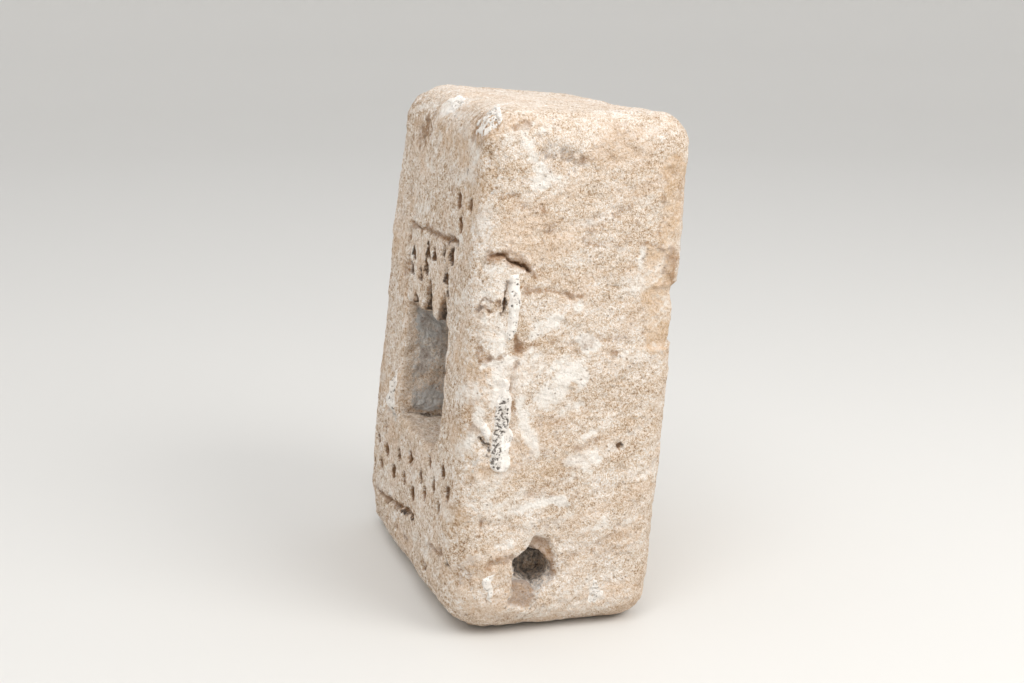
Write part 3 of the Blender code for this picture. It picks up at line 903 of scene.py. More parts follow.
    def planed(self, block: BlockShape, points: np.ndarray) -> np.ndarray:
        """How far points stand out of the spalled back edge.

        Args:
            block: The block that is spalled.
            points: Points of the square block.

        Returns:
            Their distances from it, far below 0 elsewhere on the stone.
        """
        back = block.high[1]
        depth = np.full(len(points), self.elsewhere)
        result = points[:, 0] - (block.high[0] - depth)
        near = np.flatnonzero((points > self.spall_starts).all(axis=1))
        points, depth = points[near], depth[near]
        ragged = LatticeNoise(23).layered(points * (0.2, 1, 1), 0.014, 3, 0.6)
        y, z = points[:, 1] + 2.2 * MM * ragged, points[:, 2] + 1.0 * MM * ragged
        slabs = (
            (self.spall_width, self.spall_foot, self.spall_step, self.spall_depth),
            (self.spall_width, self.spall_step, self.spall_head, self.spall_head_depth),
            (self.strip_width, self.spall_head, self.strip_head, self.strip_depth),
        )
        for width, foot, head, deep in slabs:
            inward = (y - (back - width)) / width
            edge = smooth(np.minimum(z - foot, head - z), -1.5 * MM, 1.5 * MM) * smooth(inward, -0.05, 0.04)
            slab = self.spall_skirt + deep * self.spall_share * np.clip(inward, 0, 1)
            depth = np.maximum(depth, self.elsewhere + edge * slab)
        end, high = points[:, 0] - block.high[0], points[:, 2]
        broken = smooth(high, self.spall_foot, self.spall_step - 0.003)
        broken *= smooth(high, self.spall_step + 0.001, self.spall_step - 0.001)
        outwards, backwards = self.edge_way
        edge = outwards * end + backwards * (y - back) + self.edge_reach + self.break_depth * broken
        result[near] = np.maximum(end + depth, edge + self.elsewhere * (broken < 0.01))
        return result


@dataclass
class CarvedStone:
    """The whole stone as a field of distances, with its sheets of marks."""

    block: BlockShape = field(default_factory=BlockShape)
    relief_middle: float = 0.004
    relief_reach: float = 0.009
    arris_wear: float = 0.0015
    behind_niche: float = 0.012
    behind_socket: tuple[float, float] = (0.09, 0.09)
    wall_reach: float = 0.005
    wall_lumps: float = 0.009

    def __post_init__(self) -> None:
        """Cuts the hollows and draws the sheets."""
        self.opening = Opening(self.block)
        self.socket = Socket(self.block)
        self.end_marks = EndSheet()
        self.sheets = {
            Face.FRONT: FrontSheet(self.opening).build(self.block),
            Face.END: self.end_marks.build(self.block),
        }
        self.rough = LatticeNoise(3)

    def faces(self, points: np.ndarray) -> Iterator[tuple[Sheet, np.ndarray, np.ndarray, np.ndarray]]:
        """Each sheet, with where points lie on it and how much they belong to it."""
        _, out, core, radius = self.block.surface(points)
        for face, sheet in self.sheets.items():
            axis, way = face.value
            place = self.block.pulled(points, core, radius, face)
            yield sheet, place[:, 1 - axis], place[:, 2], smooth(out[:, axis] * way, 0.35, 0.75)

    def distance(self, points: np.ndarray) -> np.ndarray:
        """How far points lie outside the finished stone.

        Args:
            points: Points of the square block.

        Returns:
            Their distances from its surface, below 0 inside it.
        """
        stone = self.block.surface(points)[0]
        near = np.flatnonzero(np.abs(stone + self.relief_middle) < self.relief_reach)
        relief = np.zeros(len(near))
        for sheet, u, v, share in self.faces(points[near]):
            relief += share * sheet.at("depth", u, v)
        stone[near] += relief
        stone = blunt_max(stone, self.end_marks.planed(self.block, points), self.arris_wear)
        inmost, highest = self.behind_socket
        for hollow, wear, near in (
            (self.opening, self.opening.arris_wear, (points[:, 1] < self.behind_niche) & (stone > -0.09)),
            (self.socket, self.arris_wear, (points[:, 0] > inmost) & (points[:, 2] < highest)),
        ):
            places = np.flatnonzero(near)
            gap = hollow.distance(points[places])
            walls = np.flatnonzero(np.abs(gap) < self.wall_reach)
            rough = self.rough.layered(points[places[walls]] + 0.3, self.wall_lumps, 2, 0.6)
            gap[walls] += hollow.roughness * rough
            stone[places] = blunt_max(stone[places], -gap, wear)
        return stone

    def roughened(self, points: np.ndarray) -> np.ndarray:
        """How far the surface stands out of its plain form at each point, in metres."""
        coarse = self.rough.layered(points, 0.012, 3, 0.55)
        fine = self.rough.layered(points + 0.5, 0.0034, 2, 0.6)
        pitted = smooth(self.rough.layered(points + 0.9, 0.0062, 2), 0.45, 0.95)
        fade = np.clip(points[:, 2] / 0.004, 0.0, 1.0)
        rise = 0.62 * MM * coarse + 0.36 * MM * fine - 1.1 * MM * pitted
        return fade * rise


@dataclass(frozen=True)
class Net:
    """A closed mesh over a field of distances."""

    points: np.ndarray
    quads: np.ndarray

    @classmethod
    def over(cls, distance: Callable[[np.ndarray], np.ndarray], low: np.ndarray, high: np.ndarray,
             step: float) -> "Net":
        """Lays a net over the surface where the distance is 0.

        Args:
            distance: The distances at points, below 0 inside.
            low: The lowest corner of the space to search.
            high: Its highest corner.
            step: The size of a mesh.

        Returns:
            The net, with its quads facing outwards.
        """
        axes = [np.arange(lo, hi + step, step) for lo, hi in zip(low, high)]
        shape = tuple(len(axis) for axis in axes)
        values = np.empty(shape, np.float32)
        flat = np.stack(np.meshgrid(axes[1], axes[2], indexing="ij"), -1).reshape(-1, 2)
        slab = 8
        for first in range(0, shape[0], slab):
            xs = axes[0][first : first + slab]
            points = np.empty((len(xs) * len(flat), 3))
            points[:, 0] = np.repeat(xs, len(flat))
            points[:, 1:] = np.tile(flat, (len(xs), 1))
            values[first : first + slab] = distance(points).reshape(len(xs), *shape[1:])
        return cls.through(values, np.array(low), step)

    @classmethod
    def through(cls, values: np.ndarray, low: np.ndarray, step: float) -> "Net":
        """The net through a grid of distances.

        Args:
            values: The distances on the grid.
            low: The place of its first value.
            step: The grid's step.

        Returns:
            The net.
        """
        inside = values < 0
        count = np.zeros([n - 1 for n in values.shape], np.uint8)
        corners = [np.array([(c >> axis) & 1 for axis in range(3)]) for c in range(8)]
        for corner in corners:
            i, j, k = corner
            size = count.shape
            count += inside[i : i + size[0], j : j + size[1], k : k + size[2]]
        cells = np.argwhere((count > 0) & (count < 8))
        total, crossings = np.zeros((len(cells), 3)), np.zeros(len(cells))
        for a in range(8):
            for axis in range(3):
                if (a >> axis) & 1:
                    continue
                start, end = corners[a], corners[a | (1 << axis)]
                va = values[tuple((cells + start).T)].astype(float)
                vb = values[tuple((cells + end).T)].astype(float)
                crossed = (va < 0) != (vb < 0)
                share = np.where(crossed, va / np.where(crossed, va - vb, 1.0), 0.0)
                total += crossed[:, None] * (start + share[:, None] * (end - start))
                crossings += crossed
        points = low + step * (cells + total / crossings[:, None])
        index = np.full(count.shape, -1, np.int32)
        index[tuple(cells.T)] = np.arange(len(cells))
        quads = []
        for axis in range(3):
            u, v = (axis + 1) % 3, (axis + 2) % 3
            here = [slice(None)] * 3
            there = [slice(None)] * 3
            here[axis], there[axis] = slice(0, -1), slice(1, None)
            for other in (u, v):
                here[other] = there[other] = slice(1, -1)
            change = inside[tuple(here)] != inside[tuple(there)]
            edges = np.argwhere(change)
            edges[:, u] += 1
            edges[:, v] += 1
            ring = []
            for du, dv in ((1, 1), (0, 1), (0, 0), (1, 0)):
                cell = edges.copy()
                cell[:, u] -= du
                cell[:, v] -= dv
                ring.append(index[tuple(cell.T)])
            quad = np.stack(ring, 1)
            leaves = inside[tuple(edges.T)]
            quads.append(np.where(leaves[:, None], quad, quad[:, ::-1]))
        return cls(points, np.concatenate(quads))

    def normals(self) -> np.ndarray:
        """The way out at each point."""
        a, b, c, d = (self.points[self.quads[:, i]] for i in range(4))
        across = np.cross(c - a, d - b)
        total = np.zeros((len(self.points), 3))
        for corner in range(4):
            for axis in range(3):
                total[:, axis] += np.bincount(
                    self.quads[:, corner], across[:, axis], minlength=len(self.points)
                )
        return total / np.maximum(np.linalg.norm(total, axis=1), 1e-12)[:, None]

    def moved(self, points: np.ndarray) -> "Net":
        """The same net with its points elsewhere."""
        return Net(points, self.quads)

    def mesh(self, name: str) -> bpy.types.Object:
        """Puts the net in the scene as a smoothly shaded mesh.

        Args:
            name: What its object is called.

        Returns:
            The object.
        """
        mesh = bpy.data.meshes.new(name)
        mesh.vertices.add(len(self.points))
        mesh.vertices.foreach_set("co", self.points.astype(np.float32).ravel())
        mesh.loops.add(self.quads.size)
        mesh.loops.foreach_set("vertex_index", self.quads.astype(np.int32).ravel())
        mesh.polygons.add(len(self.quads))
        mesh.polygons.foreach_set("loop_start", np.arange(0, self.quads.size, 4, dtype=np.int32))
        mesh.update(calc_edges=True)
        mesh.shade_smooth()
        obj = bpy.data.objects.new(name, mesh)
        bpy.context.scene.collection.objects.link(obj)
        return obj


def vertex_places(mesh: bpy.types.Mesh) -> np.ndarray:
    """The places of a mesh's vertices, three numbers each."""
    places = np.empty(len(mesh.vertices) * 3, np.float32)
    mesh.vertices.foreach_get("co", places)
    return places.reshape(-1, 3).astype(float)


def settled(obj: bpy.types.Object) -> bpy.types.Object:
    """Turns what an object's modifiers make into its own plain mesh."""
    evaluated = obj.evaluated_get(bpy.context.evaluated_depsgraph_get())
    mesh = bpy.data.meshes.new_from_object(evaluated)
    old = obj.data
    obj.modifiers.clear()
    obj.data = mesh
    bpy.data.meshes.remove(old)
    return obj


def keep_value(mesh: bpy.types.Mesh, name: str, values: np.ndarray) -> None:
    """Keeps one number for each vertex under a name that the finishes read."""
    layer = mesh.attributes.new(name, "FLOAT", "POINT")
    layer.data.foreach_set("value", values.astype(np.float32))


class Graph:
    """Adds nodes to one tree and joins them as it goes."""

    def __init__(self, tree: bpy.types.NodeTree) -> None:
        """Takes the tree to build in."""
        self.tree = tree

    def add(self, kind: str, values: dict[str | int, object] | None = None,
            **settings: object) -> bpy.types.Node:
        """Adds a node.

        Args:
            kind: Its type.
            values: What goes in each input: a value, or the socket that it comes from.
            settings: The node's own settings.

        Returns:
            The new node.
        """
        node = self.tree.nodes.new(kind)
        for name, value in settings.items():
            setattr(node, name, value)
        for key, value in (values or {}).items():
            if isinstance(value, bpy.types.NodeSocket):
                self.tree.links.new(value, node.inputs[key])
            else:
                node.inputs[key].default_value = value
        return node

    def sum(self, operation: str, *values: object) -> bpy.types.NodeSocket:
        """The result of one step of arithmetic."""
        return self.add("ShaderNodeMath", dict(enumerate(values)), operation=operation).outputs[0]

    def value(self, name: str) -> bpy.types.NodeSocket:
        """The number kept at each vertex under a name."""
        return self.add("ShaderNodeAttribute", attribute_name=name).outputs["Fac"]

    def place(self, group: bpy.types.NodeTree, where: bpy.types.NodeSocket,
              **values: object) -> bpy.types.Node:
        """Places a shared group with its own values."""
        node = self.add("ShaderNodeGroup", node_tree=group)
        for key, value in {"Vector": where, **values}.items():
            if isinstance(value, bpy.types.NodeSocket):
                self.tree.links.new(value, node.inputs[key])
            else:
                node.inputs[key].default_value = value
        return node

    def blend(self, share: object, a: object, b: object, kind: str = "MIX") -> bpy.types.NodeSocket:
        """Two colours mixed."""
        node = self.add("ShaderNodeMix", {0: share, 6: a, 7: b}, data_type="RGBA", blend_type=kind)
        return node.outputs[2]

    def spread(self, value: object, low: float, high: float, to_low: float = 0.0,
               to_high: float = 1.0) -> bpy.types.NodeSocket:
        """A value carried smoothly from one range to another."""
        values = {0: value, 1: low, 2: high, 3: to_low, 4: to_high}
        return self.add("ShaderNodeMapRange", values, interpolation_type="SMOOTHSTEP").outputs[0]

    def noise(self, vector: object, scale: object, detail: float = 2.0,
              roughness: float = 0.5) -> bpy.types.NodeSocket:
        """Noise between 0 and 1."""
        values = {"Vector": vector, "Scale": scale, "Detail": detail, "Roughness": roughness}
        return self.add("ShaderNodeTexNoise", values).outputs[0]


class Tree:
    """A tree of Geometry Nodes that works on one mesh and gives it one finish."""

    def __init__(self, name: str, inputs: dict[str, str]) -> None:
        """Starts the tree.

        Args:
            name: What it is called.
            inputs: The kind of each of its own inputs, next to the mesh and the finish.
        """
        self.tree = bpy.data.node_groups.new(name, "GeometryNodeTree")
        for key, kind in {"Geometry": "Geometry", **inputs, "Finish": "Material"}.items():
            self.tree.interface.new_socket(key, in_out="INPUT", socket_type=f"NodeSocket{kind}")
        self.tree.interface.new_socket("Geometry", in_out="OUTPUT", socket_type="NodeSocketGeometry")
        self.graph = Graph(self.tree)
        self.given = self.graph.add("NodeGroupInput").outputs

    def close(self, geometry: bpy.types.NodeSocket) -> None:
        """Ends the tree in plain geometry with its finish."""
        real = self.graph.add("GeometryNodeRealizeInstances", {"Geometry": geometry}).outputs[0]
        inputs = {"Geometry": real, "Material": self.given["Finish"]}
        dressed = self.graph.add("GeometryNodeSetMaterial", inputs).outputs[0]
        self.graph.add("NodeGroupOutput", {"Geometry": dressed})

    def run(self, obj: bpy.types.Object, values: dict[str, object]) -> None:
        """Runs the tree on an object, whose mesh becomes the result.

        Args:
            obj: The object.
            values: What goes in each input, by its name.
        """
        modifier = obj.modifiers.new(self.tree.name, "NODES")
        modifier.node_group = self.tree
        for item in self.tree.interface.items_tree:
            if item.in_out == "INPUT" and item.name in values:
                modifier[item.identifier] = values[item.name]
        settled(obj)


def paint(red: int, green: int, blue: int) -> Colour:
    """A colour from its values on a screen, from 0 to 255."""
    shares = [value / 255 for value in (red, green, blue)]
    linear = [s / 12.92 if s <= 0.04045 else ((s + 0.055) / 1.055) ** 2.4 for s in shares]
    return (*linear, 1.0)


class Effects:
    """The node groups that the finishes share, each built once."""

    def __init__(self) -> None:
        """Builds all four groups."""
        self.grain = self.make_grain()
        self.mottling = self.make_mottling()
        self.broken_edge = self.make_broken_edge()
        self.pores = self.make_pores()

    @staticmethod
    def start(name: str, inputs: dict[str, tuple[str, float]], outputs: tuple[str, ...]) -> tuple[
        bpy.types.NodeTree, Graph, bpy.types.Node, bpy.types.Node
    ]:
        """Starts a group.

        Args:
            name: What it is called.
            inputs: The kind and value of each input.
            outputs: The names of its outputs, which are all numbers.

        Returns:
            The group, a graph to build it with, and its input and output nodes.
        """
        tree = bpy.data.node_groups.new(name, "ShaderNodeTree")
        for key, (kind, value) in inputs.items():
            socket = tree.interface.new_socket(key, in_out="INPUT", socket_type=f"NodeSocket{kind}")
            if kind == "Float":
                socket.default_value = value
        for key in outputs:
            tree.interface.new_socket(key, in_out="OUTPUT", socket_type="NodeSocketFloat")
        graph = Graph(tree)
        return tree, graph, graph.add("NodeGroupInput"), graph.add("NodeGroupOutput")

    def make_grain(self) -> bpy.types.NodeTree:
        """Sandy grain: a speckle, and the height of its grains."""
        tree, graph, given, result = self.start(
            "sandy_grain", {"Vector": ("Vector", 0), "Grains": ("Float", 620)}, ("Speckle", "Height")
        )
        fine = graph.noise(given.outputs["Vector"], given.outputs["Grains"], 2.0, 0.6)
        coarse_scale = graph.sum("MULTIPLY", given.outputs["Grains"], 0.45)
        coarse = graph.noise(given.outputs["Vector"], coarse_scale, 2.0, 0.6)
        both = graph.sum("ADD", graph.sum("MULTIPLY", fine, 0.6), graph.sum("MULTIPLY", coarse, 0.4))
        graph.tree.links.new(graph.spread(both, 0.34, 0.66), result.inputs["Speckle"])
        graph.tree.links.new(both, result.inputs["Height"])
        return tree

    def make_mottling(self) -> bpy.types.NodeTree:
        """Cloudy patches in two sizes."""
        tree, graph, given, result = self.start(
            "mottling", {"Vector": ("Vector", 0), "Patches": ("Float", 40)}, ("Cloud",)
        )
        large = graph.noise(given.outputs["Vector"], given.outputs["Patches"], 5.0, 0.66)
        small_scale = graph.sum("MULTIPLY", given.outputs["Patches"], 3.3)
        small = graph.noise(given.outputs["Vector"], small_scale, 4.0, 0.66)
        both = graph.sum("ADD", graph.sum("MULTIPLY", large, 0.55), graph.sum("MULTIPLY", small, 0.45))
        graph.tree.links.new(graph.spread(both, 0.37, 0.63), result.inputs["Cloud"])
        return tree

    def make_broken_edge(self) -> bpy.types.NodeTree:
        """A stain whose edge is broken up by the grain of the stone."""
        inputs = {"Amount": ("Float", 0), "Vector": ("Vector", 0), "Breaks": ("Float", 260)}
        tree, graph, given, result = self.start("broken_edge", inputs, ("Cover",))
        breaks = graph.noise(given.outputs["Vector"], given.outputs["Breaks"], 6.0, 0.75)
        off = graph.sum("MULTIPLY", graph.sum("SUBTRACT", breaks, 0.5), 2.6)
        there = graph.spread(given.outputs["Amount"], 0.0, 0.35)
        raised = graph.sum("ADD", given.outputs["Amount"], graph.sum("MULTIPLY", off, there))
        graph.tree.links.new(graph.spread(raised, 0.12, 1.0), result.inputs["Cover"])
        return tree

    def make_pores(self) -> bpy.types.NodeTree:
        """Small scattered pores, 1 in the middle of each."""
        inputs = {"Vector": ("Vector", 0), "Pores": ("Float", 300), "Size": ("Float", 0.3)}
        tree, graph, given, result = self.start("pores", inputs, ("Pore",))
        cells = graph.add(
            "ShaderNodeTexVoronoi", {"Vector": given.outputs["Vector"], "Scale": given.outputs["Pores"]}
        )
        some = graph.noise(given.outputs["Vector"], graph.sum("MULTIPLY", given.outputs["Pores"], 0.3))
        size = graph.sum("MULTIPLY", given.outputs["Size"], graph.spread(some, 0.42, 0.62))
        gap = graph.sum("SUBTRACT", size, cells.outputs["Distance"])
        graph.tree.links.new(graph.spread(gap, 0.0, 0.12), result.inputs["Pore"])
        return tree


class Surface:
    """The start and the end that both finishes share."""

    SPECULAR = 0.2

    def __init__(self, name: str) -> None:
        """Starts a material that reads where a place is on its piece."""
        self.material = bpy.data.materials.new(name)
        self.material.use_nodes = True
        self.graph = Graph(self.material.node_tree)
        self.where = self.graph.add("ShaderNodeTexCoord").outputs["Object"]

    def close(self, colour: bpy.types.NodeSocket, roughness: float, height: bpy.types.NodeSocket,
              strength: float, distance: float) -> bpy.types.Material:
        """Joins the finish to the shader.

        Args:
            colour: The colour over the surface.
            roughness: How dull it is.
            height: The relief over the surface.
            strength: How much of the relief shows.
            distance: How high it is, in metres.

        Returns:
            The finished material.
        """
        shader = self.material.node_tree.nodes["Principled BSDF"]
        shader.inputs["Roughness"].default_value = roughness
        shader.inputs["Specular IOR Level"].default_value = self.SPECULAR
        relief = {"Strength": strength, "Distance": distance, "Height": height}
        bump = self.graph.add("ShaderNodeBump", relief).outputs["Normal"]
        self.graph.tree.links.new(colour, shader.inputs["Base Color"])
        self.graph.tree.links.new(bump, shader.inputs["Normal"])
        return self.material


@dataclass(frozen=True)
class Limestone:
    """Weathered limestone: cream and sand coloured, gritty, brown in its cracks with stains and painted
    shade.
    """

    tones: tuple[tuple[float, Colour], ...] = (
        (0.12, paint(160, 128, 98)),
        (0.34, paint(208, 184, 158)),
        (0.50, paint(226, 209, 192)),
        (0.68, paint(239, 227, 215)),
        (0.88, paint(251, 246, 241)),
    )
    warm: Colour = paint(222, 192, 164)
    brown: Colour = paint(146, 106, 68)
    dark: Colour = paint(58, 50, 44)
    lime: Colour = paint(252, 247, 240)
    tan: Colour = paint(216, 183, 147)
    slate: Colour = paint(190, 197, 201)
    roughness: float = 0.93
    front_grain: float = 0.50

    def build(self, effects: Effects) -> bpy.types.Material:
        """Makes the material.

        Args:
            effects: The shared node groups.

        Returns:
            The finish of the stone.
        """
        surface = Surface("weathered_limestone")
        graph, where = surface.graph, surface.where
        slanted = graph.add(
            "ShaderNodeMapping",
            {"Vector": where, "Rotation": (0.0, -0.42, 1.27), "Scale": (3.0, 1.0, 1.0)},
            vector_type="TEXTURE",
        ).outputs[0]
        cloud = graph.place(effects.mottling, slanted, Patches=46.0).outputs["Cloud"]
        patch = graph.place(effects.mottling, slanted, Patches=170.0).outputs["Cloud"]
        grain = graph.place(effects.grain, where, Grains=1250.0)
        speckle = grain.outputs["Speckle"]
        pore = graph.place(effects.pores, where, Pores=240.0, Size=0.24).outputs["Pore"]
        crumb = graph.noise(where, 210.0, 4.0, 0.6)
        warmth = graph.spread(graph.noise(slanted, 34.0, 3.0, 0.6), 0.46, 0.66)

        tone = graph.sum("MULTIPLY", cloud, 0.22)
        tone = graph.sum("MULTIPLY_ADD", patch, 0.18, tone)
        tone = graph.sum("MULTIPLY_ADD", speckle, 0.60, tone)
        looks = graph.add("ShaderNodeTexCoord").outputs["Normal"]
        across = graph.add("ShaderNodeSeparateXYZ", {0: looks}).outputs["Y"]
        coarse = graph.place(effects.grain, where, Grains=430.0).outputs["Speckle"]
        on_front = graph.sum("MULTIPLY", graph.spread(across, -0.35, -0.8), self.front_grain)
        tone = graph.sum("MULTIPLY_ADD", graph.sum("SUBTRACT", coarse, 0.5), on_front, tone)
        ramp = graph.add("ShaderNodeValToRGB", {"Fac": tone})
        for i, (place, tint) in enumerate(self.tones):
            stops = ramp.color_ramp.elements
            stop = stops[i] if i < 2 else stops.new(place)
            stop.position, stop.color = place, tint
        colour = graph.blend(graph.sum("MULTIPLY", warmth, 0.35), ramp.outputs["Color"], self.warm)
        for stain, tint, strength in (
            (Stain.TAN, self.tan, 0.52),
            (Stain.SLATE, self.slate, 0.72),
            (Stain.LIME, self.lime, 0.80),
            (Stain.BROWN, self.brown, 0.62),
            (Stain.DARK, self.dark, 0.9),
        ):
            cover = graph.place(effects.broken_edge, where, Amount=graph.value(stain.value))
            share = graph.sum("MULTIPLY", cover.outputs["Cover"], strength)
            colour = graph.blend(share, colour, tint)
        # Painted shade: browner where the relief sinks deep and in the pecked dots, as the hollow value
        # gives it.
        hollow_shade = graph.sum("MULTIPLY", graph.spread(graph.value("hollow"), 0.1, 0.9), 0.55)
        colour = graph.blend(hollow_shade, colour, self.brown)
        colour = graph.blend(graph.sum("MULTIPLY", pore, 0.45), colour, self.brown)
        height = graph.sum("MULTIPLY_ADD", crumb, 3.6, grain.outputs["Height"])
        height = graph.sum("MULTIPLY_ADD", pore, -0.8, height)
        return surface.close(colour, self.roughness, height, strength=0.9, distance=0.0012)


@dataclass(frozen=True)
class LimeMortar:
    """Old lime mortar: nearly white, gritty and full of dark pores."""

    pale: Colour = paint(248, 243, 237)
    grey: Colour = paint(222, 213, 203)
    pore: Colour = paint(84, 74, 65)
    roughness: float = 0.96

    def build(self, effects: Effects) -> bpy.types.Material:
        """Makes the material.

        Args:
            effects: The shared node groups.

        Returns:
            The finish of the mortar.
        """
        surface = Surface("lime_mortar")
        graph, where = surface.graph, surface.where
        patch = graph.place(effects.mottling, where, Patches=220.0).outputs["Cloud"]
        grain = graph.place(effects.grain, where, Grains=900.0)
        pore = graph.place(effects.pores, where, Pores=640.0, Size=0.42).outputs["Pore"]
        deep = graph.spread(graph.value("pore"), 0.2, 1.0, 0.0, 0.85)
        colour = graph.blend(graph.sum("MULTIPLY", patch, 0.7), self.pale, self.grey)
        colour = graph.blend(graph.sum("MULTIPLY", pore, 0.30), colour, self.pore)
        colour = graph.blend(deep, colour, self.pore)
        height = graph.sum("SUBTRACT", grain.outputs["Height"], pore)
        return surface.close(colour, self.roughness, height, strength=0.7, distance=0.0008)


@dataclass
class PeckedDots:
    """The field of pecked dots, pressed into the stone by Geometry Nodes."""

    stone: CarvedStone
    width: float = 0.0125
    depth: float = 0.0068
    pitch: float = 0.0354
    row_pitch: float = 0.016
    margin: float = 0.028
    height: float = 0.082
    slope: float = 0.10
    wander: float = 0.001
    ragged: float = 0.0030
    seed: int = 4
    frame_top: float = 0.062
    rows: tuple[tuple[int, float, Corners], ...] = (
        (-1, -0.5, ((6.7, -7.2), (-2.7, -2.8), (0.9, -1.3), (0.5, 1.1), (-3.9, -4.4))),
        (-1, 4.5, ((-6.3, 3.1), (-0.7, 0.5))),
        (0, 0.0, ((-1.0, -1.0), (-5.4, -4.5), (-2.8, 0.0), (-5.2, 4.4), (-3.6, -2.2))),
        (0, 5.0, ((-1.0, -0.7), (0.6, 0.8))),
        (1, 0.5, ((4.3, -0.8),)),
        (1, 4.5, ((0.7, -1.9), (1.3, -2.5))),
    )

    def middles(self) -> Iterator[tuple[float, float]]:
        """The place of each dot on the front, in staggered rows, then three over the frame."""
        edge = self.stone.block.low[0] + self.margin
        for row, first, offsets in self.rows:
            for i, (right, up) in enumerate(offsets):
                x = edge + (first + i) * self.pitch
                z = self.height + row * self.row_pitch + self.slope * (x - edge)
                yield x + self.wander * right, z + self.wander * up
        opening = self.stone.opening
        x = opening.left + opening.width
        z = opening.height_at(x, opening.head + self.frame_top)
        for right, above in ((0.007, 0.014), (-0.001, 0.030), (0.029, 0.031)):
            yield x + right, z + above

    def points(self) -> bpy.types.Object:
        """A mesh of bare points, one at the middle of each dot."""
        places = [self.stone.block.place_on_front(x, z) for x, z in self.middles()]
        mesh = bpy.data.meshes.new("dot_middles")
        mesh.from_pydata(places, [], [])
        obj = bpy.data.objects.new("dot_middles", mesh)
        bpy.context.scene.collection.objects.link(obj)
        return obj

    @staticmethod
    def tree() -> Tree:
        """The tree that presses a ragged pit in at each point."""
        kinds = {"Middles": "Object"} | dict.fromkeys(("Width", "Depth", "Ragged", "Seed"), "Float")
        tree = Tree("pecked_dots", kinds)
        graph, given = tree.graph, tree.given
        middles = graph.add("GeometryNodeObjectInfo", {"Object": given["Middles"]}).outputs["Geometry"]
        near = graph.add("GeometryNodeProximity", {0: middles}, target_element="POINTS")
        fine, broad = (
            graph.add(
                "ShaderNodeTexNoise",
                {"W": given["Seed"], "Scale": scale, "Detail": 2.0},
                noise_dimensions="4D",
            )
            for scale in (330.0, 52.0)
        )
        uneven = graph.sum("MULTIPLY", graph.sum("SUBTRACT", fine.outputs[0], 0.5), given["Ragged"])
        gap = graph.sum("ADD", near.outputs["Distance"], uneven)
        size = graph.spread(broad.outputs[0], 0.32, 0.68, 0.42, 0.58)
        half = graph.sum("MULTIPLY", given["Width"], size)
        share = graph.spread(graph.sum("DIVIDE", gap, half), 1.10, 0.50)
        sunk = graph.sum("MULTIPLY", graph.sum("MULTIPLY", share, given["Depth"]), -1.0)
        normal = graph.add("GeometryNodeInputNormal").outputs[0]
        inward = graph.add("ShaderNodeVectorMath", {0: normal, "Scale": sunk}, operation="SCALE").outputs[0]
        moved = graph.add("GeometryNodeSetPosition", {"Geometry": given["Geometry"], "Offset": inward})
        tree.close(moved.outputs[0])
        return tree

    def press(self, obj: bpy.types.Object, finish: bpy.types.Material) -> None:
        """Presses the dots into a mesh of the square block.

        Args:
            obj: The stone, still square.
            finish: The finish that it is given.
        """
        middles = self.points()
        values = {
            "Middles": middles,
            "Width": self.width,
            "Depth": self.depth,
            "Ragged": self.ragged,
            "Seed": float(self.seed),
            "Finish": finish,
        }
        self.tree().run(obj, values)
        bpy.data.objects.remove(middles)


